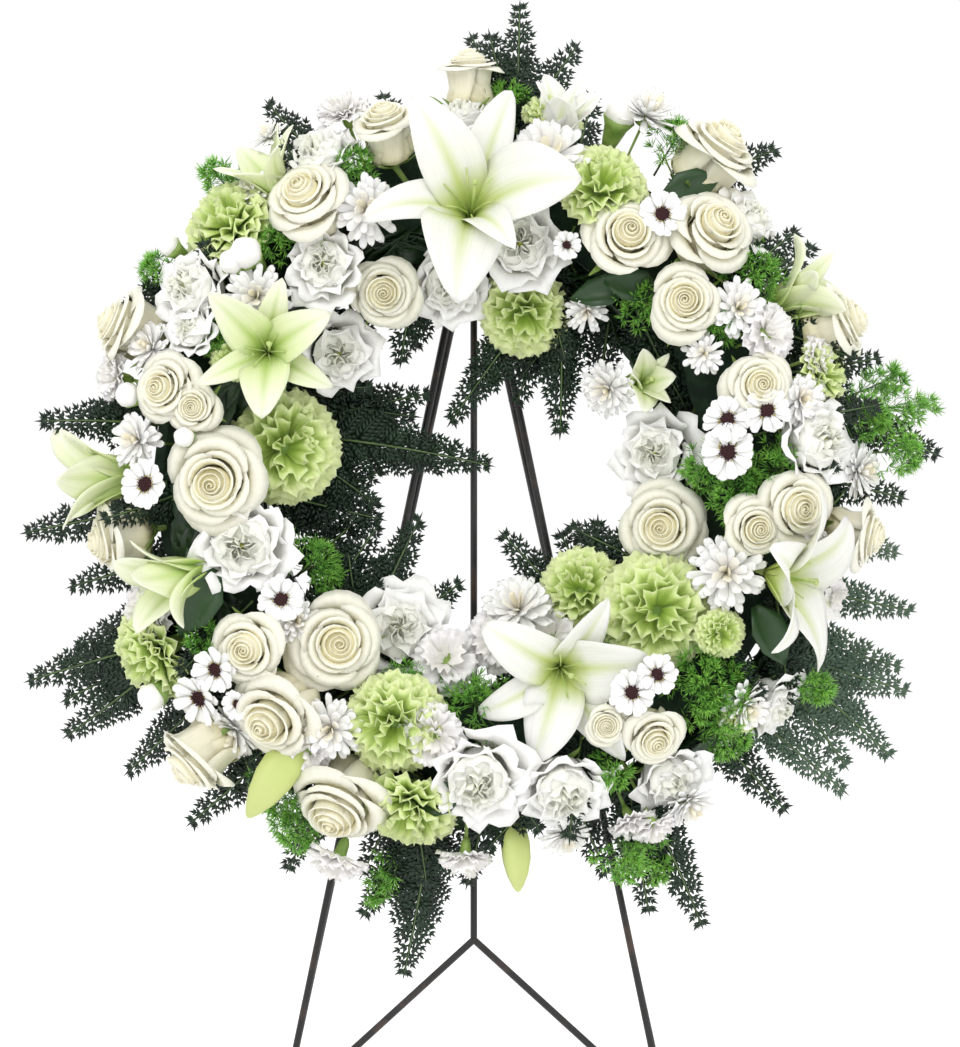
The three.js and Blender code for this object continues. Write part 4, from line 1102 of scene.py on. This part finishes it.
def over_foam(clock, around, reach):
    """A place over the foam: around is 0 at the outer wall, 90 at the front, 180 at the inner."""
    turn = math.radians(around)
    return polar(clock, RING_RADIUS + math.cos(turn) * reach, CORE_HEIGHT + math.sin(turn) * reach)


def out_of_foam(clock, around):
    turn = math.radians(around)
    return polar(clock, math.cos(turn), math.sin(turn))


def rose_leaf_shape():
    """One oval leaf with a folded midrib, a drooping tip and a toothed rim."""
    rows, columns = 7, 5
    t, s = petal_grid(rows, columns)
    width = 0.5 * np.sin(np.clip(t, 0.03, 0.985) ** 0.85 * math.pi) ** 0.8
    width = width * np.where(np.arange(rows) % 2 == 0, 1.0, 0.9)[:, None]
    lift = 0.16 * np.abs(s) * width * 2 - 0.22 * t ** 2 + 0.05 * np.sin(7 * t) * s
    bunch = Bunch()
    bunch.blade(np.stack([s * width, t, lift], axis=2), 0.02, Matrix.Identity(4))
    return bunch.to_object("rose_leaf", [])


rose_leaf = rose_leaf_shape()
rose_leaf_finish = leaf_finish("rose_leaf_green", (0.004, 0.015, 0.006), (0.020, 0.060, 0.016), 0.42)
LEAF_COUNT = 300
FILLER_FRONDS = 38
GOLDEN_DEGREES = 137.508
GOLDEN_RATIO = 0.618034
# Clock, radius, heading and length of the broad leaves that show between the flowers.
BROAD_LEAVES = [(205.7, 250, 240, 62), (49.8, 190, -10, 50), (56.2, 170, 190, 46), (53.2, 283, 20, 50),
                (158, 300, 150, 46), (262, 268, 200, 50), (330, 268, 300, 54)]
random = np.random.default_rng(21)
spray = Spray()
for n in range(LEAF_COUNT):
    clock = n * GOLDEN_DEGREES % 360
    around = -22 + 222 * (n * GOLDEN_RATIO % 1)
    outward = out_of_foam(clock, around)
    along = polar(clock + 90, 1, 0) * random.choice([-1, 1])
    length = random.uniform(46, 68) * MM
    ahead = along + outward.cross(along) * random.uniform(-0.8, 0.8)
    ahead += outward * random.uniform(-0.02, 0.3)
    ahead.normalize()
    start = over_foam(clock, around, random.uniform(52, 66) * MM) - ahead * length * 0.5
    face = outward + Vector(random.normal(0, 0.25, 3))
    width = length * random.uniform(0.46, 0.6)
    spray.leaf(start, ahead, face, width, length, length, random.uniform(0, 1))
    if n % 5 == 0:
        foot = over_foam(clock, around, 30 * MM)
        spray.stalks.tube(in_world(foot, start), [1.2 * MM, 0.8 * MM], 5)
for clock, radius, heading, length in BROAD_LEAVES:
    middle = WREATH.inverted() @ bloom_place(clock, radius, 0, lift=-6).translation
    way = polar(heading, 1, 0)
    length = length * MM
    spray.leaf(middle - way * length * 0.5, way, Vector((0.1, 0.1, 1)), 0.58 * length, length, length, 1.6)
piece = scatter("rose_leaves", spray, rose_leaf, rose_leaf_finish, stalk_finish)
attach(piece, "front_frame")

spray = Spray()
for n in range(FILLER_FRONDS):
    clock = n * 360 / FILLER_FRONDS + random.uniform(-3, 3)
    around = [40, 100, 150][n % 3] + random.uniform(-12, 12)
    root = over_foam(clock, around, 46 * MM)
    heading = clock + random.uniform(-70, 70) + (180 if around > 110 else 0)
    rise = 34 * math.sin(math.radians(around)) + random.uniform(-4, 8)
    length, width = random.uniform(72, 98) * MM, random.uniform(40, 52) * MM
    droop = random.uniform(6, 20) * MM
    frond(spray, root, heading, length, width, rise * MM, droop, 1300 + n, tone=0.35)
piece = scatter("filler_ferns", spray, leaflet, fern_finish, stalk_finish)
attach(piece, "front_frame")

# Clock of the root, then heading, length and width of fronds that thicken the hole's rim.
HOLE_RIM = [(150, -30, 96, 50), (140, -62, 84, 50), (160, -10, 110, 54), (176, 8, 104, 52),
            (186, -14, 92, 50), (196, 30, 96, 50), (128, -80, 72, 46), (86, -70, 92, 46),
            (76, -108, 104, 50), (60, -122, 92, 46), (52, -100, 70, 40), (222, 60, 84, 46),
            (238, 84, 74, 42), (310, 122, 92, 46), (322, 140, 76, 42), (296, 96, 72, 40),
            (210, 44, 88, 46), (104, -96, 66, 44)]
HOLE_RIM_RADIUS = 176 * MM
spray = Spray()
for n, (clock, heading, length, width) in enumerate(HOLE_RIM):
    root = polar(clock, HOLE_RIM_RADIUS, random.uniform(18, 32) * MM)
    frond(spray, root, heading, length * MM, width * MM, 2 * MM, 10 * MM, 1700 + n, tone=0.25)
piece = scatter("hole_rim_ferns", spray, leaflet, fern_finish, stalk_finish)
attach(piece, "front_frame")

# Clock, how far the tip reaches, width and tone of each frond of the collar behind the flowers.
COLLAR = [(171, 322, 46, 0.5), (187, 382, 58, 0.3), (196, 352, 46, 0.4), (204, 366, 50, 0.4),
          (214, 352, 46, 0.5), (221, 386, 56, 0.3), (232, 378, 52, 0.4), (244, 366, 52, 0.3),
          (254, 350, 46, 0.4), (268, 342, 50, 0.3), (288, 350, 46, 0.4), (311, 378, 50, 0.5),
          (357, 352, 44, 0.7), (33, 330, 40, 0.5), (104, 322, 40, 0.5), (131, 322, 44, 0.5),
          (151, 318, 40, 0.4), (74, 322, 40, 0.5), (46, 318, 40, 0.4), (15, 342, 44, 0.6)]
GREY_COLLAR = [(319, 402, 54, 0.6), (334, 384, 50, 0.8), (342, 376, 46, 0.6), (349, 350, 42, 0.8)]
COLLAR_RADIUS = 252 * MM
for name, fronds, finish in [("collar_ferns", COLLAR, fern_finish),
                             ("grey_collar_ferns", GREY_COLLAR, grey_fern_finish)]:
    spray = Spray()
    for n, (clock, reach, width, tone) in enumerate(fronds):
        root = polar(clock + random.uniform(-5, 5), COLLAR_RADIUS, random.uniform(16, 34) * MM)
        tip = polar(clock, reach * MM, 0)
        heading = math.degrees(math.atan2(tip.y - root.y, tip.x - root.x))
        length = math.hypot(tip.x - root.x, tip.y - root.y)
        frond(spray, root, heading, length, width * MM, -4 * MM, 16 * MM, 1400 + n, tone=tone)
    piece = scatter(name, spray, leaflet, finish, stalk_finish)
    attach(piece, "front_frame")

# Clock, radius, spread across and length of the plumes that stand between the flowers.
PLUMES = [(131.7, 244, 34, 40), (132, 322, 34, 60), (112.6, 262, 40, 60), (85.9, 303, 44, 62),
          (59.5, 314, 60, 60), (35.6, 270, 62, 56), (31.8, 225, 40, 40), (45.7, 182, 44, 40),
          (7.6, 322, 46, 56), (2.4, 345, 44, 60), (355, 204, 64, 56), (359.6, 235, 60, 50),
          (359.5, 178, 44, 44), (327.2, 328, 36, 50), (315.9, 250, 76, 56), (315.5, 276, 70, 56),
          (313, 298, 52, 60), (303.5, 168, 44, 44), (293.4, 266, 34, 50), (290.3, 344, 50, 60),
          (268.5, 188, 66, 46), (250.3, 184, 44, 44), (243.1, 332, 56, 64), (238.7, 316, 66, 60),
          (211.9, 260, 50, 46), (210, 152, 66, 48), (148.5, 311, 36, 50), (154, 236, 36, 40)]
spray = Spray()
for n, (clock, radius, spread, length) in enumerate(PLUMES):
    head = WREATH.inverted() @ bloom_place(clock, radius, 0, lift=-8).translation
    foot = polar(clock, RING_RADIUS + (radius * MM - RING_RADIUS) * 0.4, CORE_HEIGHT + 14 * MM)
    reach = (head - foot).normalized() * length * MM
    tufts = int(10 + spread * length / 75)
    plume(spray, head - reach * 0.62, head + reach * 0.16, spread * MM, 1500 + n, tufts)
piece = scatter("asparagus_plumes", spray, needle, plume_finish, stalk_finish)
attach(piece, "front_frame")

# ------------------------------------------------------------------ spray chrysanthemums
# White double sprays: dozens of narrow strap petals in a low dome, cream at the heart, each head
# on a thin green stem.
STRAP_THICKNESS = 1.0 * MM
GOLDEN_ANGLE = 2.39996
MIDDLE_OF_BAND = 225
STEEPEST_TILT = 84


def facing_tilt(radius):
    """How far a small flower turns out from the wreath's front, by where it stands."""
    past = radius - MIDDLE_OF_BAND
    return min(STEEPEST_TILT, past * 0.62) if past > 0 else past * 0.3


def strap_way(lean, azimuth):
    """Which way a strap petal points and faces, when it leans out from the flower's middle."""
    out = Vector((math.sin(lean) * math.cos(azimuth), math.sin(lean) * math.sin(azimuth), math.cos(lean)))
    face = Vector((-math.cos(lean) * math.cos(azimuth), -math.cos(lean) * math.sin(azimuth), math.sin(lean)))
    return out, face


def in_flower(turn, start, out, face):
    """A place and two directions of a flower's own frame, carried over to the wreath's plane."""
    spin = turn.to_3x3()
    return turn @ start, spin @ out, spin @ face


def strap_head(spray, place, size, count, seed):
    R = size / 2
    random = np.random.default_rng(seed)
    turn = WREATH.inverted() @ place
    for i in range(count):
        f = math.sqrt((i + 0.5) / count)
        lean = math.radians(8 + 88 * f) + random.uniform(-0.12, 0.12)
        azimuth = i * GOLDEN_ANGLE + random.uniform(-0.15, 0.15)
        out, face = strap_way(lean, azimuth)
        face += Vector(random.normal(0, 0.15, 3))
        length = R * (0.62 + 0.38 * f) * random.uniform(0.88, 1.06)
        start = Vector((0, 0, -0.28 * R)) + out * 0.1 * R
        width = R * random.uniform(0.21, 0.28)
        spray.leaf(*in_flower(turn, start, out, face), width, length, STRAP_THICKNESS, f)


def strap_finish(name, heart, body):
    """Strap petal: cream near the flower's heart, white further out, with fine grain, and darker towards the
    petal's base as painted shade where the petals crowd together.
    """
    made, tree, shader = material(name, 0.55)
    color = ramp(tree, attribute(tree, "tone")["Fac"], (0.12, heart), (0.4, body))
    place = add_node(tree, "ShaderNodeSeparateXYZ", Vector=attribute(tree, "mark")["Vector"])
    # Painted shade: each petal is darker towards its base, deep in the head.
    shade = ranged(tree, place["Y"], 0.0, 0.6, 0.80, 1.02)
    grain = noise(tree, on_object(tree), 700.0)
    skin(tree, shader, mixed(tree, "MULTIPLY", 1.0, color, shade), grain, 0.2, 0.0003)
    let_light_in(shader, 0.2, (0.003, 0.003, 0.002))
    return made


def floret_shape():
    """One strap petal: narrow at its base, cupped along its length, with a notched tip."""
    t, s = np.meshgrid([0, 0.45, 0.85, 1.0], [-1, 0, 1], indexing="ij")
    width = np.array([0.14, 0.42, 0.5, 0.3])[:, None]
    notch = 0.07 * (t == 1) * (s == 0)
    bunch = Bunch()
    grid = np.stack([s * width, t - notch, 1.6 * t ** 2 + 0.5 * s * s], axis=2)
    bunch.blade(grid, 0.5, Matrix.Identity(4))
    return bunch.to_object("floret", [])


floret = floret_shape()
strap_white = strap_finish("mum_white", (0.88, 0.81, 0.62), (0.95, 0.945, 0.92))
# Clock, radius and size of each head, and how many petals a large and a small one have.
LARGE_HEAD = 36
LARGE_PETALS = 50
SMALL_HEAD_PETALS = 34
CHRYSANTHEMUMS = [(114, 224, 52), (142.7, 224, 50), (175.4, 278, 46), (160, 284, 40), (77.6, 256, 62),
                  (56.1, 152, 34), (32.2, 120, 44), (27.1, 199, 34), (31.7, 241, 46), (240.2, 240, 50),
                  (226.8, 293, 44), (284.9, 115, 56), (336.9, 212, 58), (64.9, 322, 54),
                  (359.7, 310, 42), (283.1, 308, 40), (219.6, 191, 38), (301.9, 322, 44),
                  (122.6, 322, 32), (129.4, 291, 32), (318, 288, 44), (12, 262, 40)]
spray = Spray()
for n, (clock, radius, size) in enumerate(CHRYSANTHEMUMS):
    place = bloom_place(clock, radius, facing_tilt(radius), lift=2)
    petals = LARGE_PETALS if size > LARGE_HEAD else SMALL_HEAD_PETALS
    strap_head(spray, place, size * MM, petals, 1600 + n)
    bed = 0.28 * size / 2 * MM
    profile = [(0, -2.4 * bed), (bed, -1.9 * bed), (1.3 * bed, -1.2 * bed), (0, -0.6 * bed)]
    spray.stalks.turned(profile, 9, place)
    stem(spray.stalks, place, clock, 2.2 * bed, 0, 1.0)
piece = scatter("spray_chrysanthemums", spray, floret, strap_white, calyx_finish)
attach(piece, "front_frame")

# ------------------------------------------------------------------ daisies
# Small white daisies: two rows of flat strap petals round a dark brown eye with a ring of
# yellow-green stamens.
DAISY_PETALS = 15
EYE_GRAINS = 64
# Clock, radius and size of each head.
DAISIES = [(182.8, 266, 40), (213.3, 190, 38), (219.2, 290, 46), (217.3, 264, 38), (3.5, 196, 44),
           (11.1, 199, 38), (11.2, 230, 38), (303.9, 214, 38), (310.5, 215, 34), (68.9, 189, 24),
           (54.4, 246, 38), (224.2, 269, 26)]
spray = Spray()
eyes = Spray()
for n, (clock, radius, size) in enumerate(DAISIES):
    place = bloom_place(clock, radius, facing_tilt(radius), roll=n * 40, lift=8)
    R = size * MM / 2
    random = np.random.default_rng(1700 + n)
    turn = WREATH.inverted() @ place
    for i in range(DAISY_PETALS):
        azimuth = 2 * math.pi * i / DAISY_PETALS + random.uniform(-0.1, 0.1)
        lean = math.radians(random.uniform(74, 86) - (8 if i % 2 else 0))
        out, face = strap_way(lean, azimuth)
        width, length = R * random.uniform(0.34, 0.42), R * random.uniform(0.72, 0.86)
        spray.leaf(*in_flower(turn, out * 0.2 * R, out, face), width, length, 0.8 * MM, 0.9)
    bed = [(0, -0.30 * R), (0.22 * R, -0.2 * R), (0.26 * R, 0), (0, 0.03 * R)]
    spray.stalks.turned(bed, 9, place)
    stem(spray.stalks, place, clock, 0.26 * R, 0, 1.0)
    dome = [(0, 0), (0.34 * R, 0.02 * R), (0.31 * R, 0.10 * R), (0.17 * R, 0.15 * R), (0, 0.14 * R)]
    eyes.stalks.turned(dome, 14, place)
    for i in range(EYE_GRAINS):
        f = math.sqrt((i + 0.5) / EYE_GRAINS)
        azimuth = i * GOLDEN_ANGLE
        across = f * 0.38 * R
        at = Vector((math.cos(azimuth) * across, math.sin(azimuth) * across, (0.14 - 0.1 * f * f) * R))
        out = Vector((at.x * 1.2, at.y * 1.2, 0.25 * R))
        grain = R * 0.085
        tone = 1.0 if f > 0.7 else 0.1 + 0.2 * random.uniform()
        eyes.leaf(*in_flower(turn, at, out, Vector((1, 0.1, 0))), grain, grain * 1.4, grain, tone)
piece = scatter("daisy_petals", spray, floret, strap_white, calyx_finish)
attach(piece, "front_frame")


def eye_finish():
    """Daisy eye: dark brown in the middle, yellow-green stamens round it."""
    made, tree, shader = material("daisy_eye", 0.75)
    stops = [(0.3, (0.045, 0.008, 0.010)), (0.8, (0.42, 0.34, 0.03))]
    feed(tree, shader.inputs["Base Color"], ramp(tree, attribute(tree, "tone")["Fac"], *stops))
    return made


eye_brown = eye_finish()
piece = scatter("daisy_eyes", eyes, needle, eye_brown, eye_brown)
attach(piece, "front_frame")

# ------------------------------------------------------------------ round buds
# White spray-carnation buds, still round, each half wrapped in its green calyx. They stand a
# little above the flowers next to them. Their table is clock, radius and size.
BUDS = [(214.7, 322, 26), (144.5, 310, 20), (137.6, 252, 28), (68.5, 308, 28), (168.3, 288, 22),
        (174.2, 236, 18), (140.5, 256, 22)]
bunch = Bunch()
for n, (clock, radius, size) in enumerate(BUDS):
    place = bloom_place(clock, radius, facing_tilt(radius) + 8, roll=n * 60, lift=6)
    R = size * MM / 2
    ball = [(0, -0.9 * R), (0.5 * R, -0.75 * R), (0.86 * R, -0.2 * R), (0.9 * R, 0.25 * R),
            (0.66 * R, 0.72 * R), (0.3 * R, 0.95 * R), (0, 0.9 * R)]
    bunch.turned(ball, 20, place, 0.5, 0, 0.05)
    calyx = [(0, -2.3 * R), (0.34 * R, -2.25 * R), (0.5 * R, -1.6 * R), (0.66 * R, -0.8 * R),
             (0.93 * R, -0.2 * R), (0.80 * R, -0.25 * R), (0, -0.85 * R)]
    bunch.turned(calyx, 20, place, 0.0, GREEN, 0.09)
    stem(bunch, place, clock, 2.2 * R, GREEN, 1.3)
piece = bunch.to_object("round_buds", [spray_finish, calyx_finish])
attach(piece, "front_frame")

# ------------------------------------------------------------------ end
for shape in (leaflet, needle, rose_leaf, floret):
    bpy.data.objects.remove(shape)
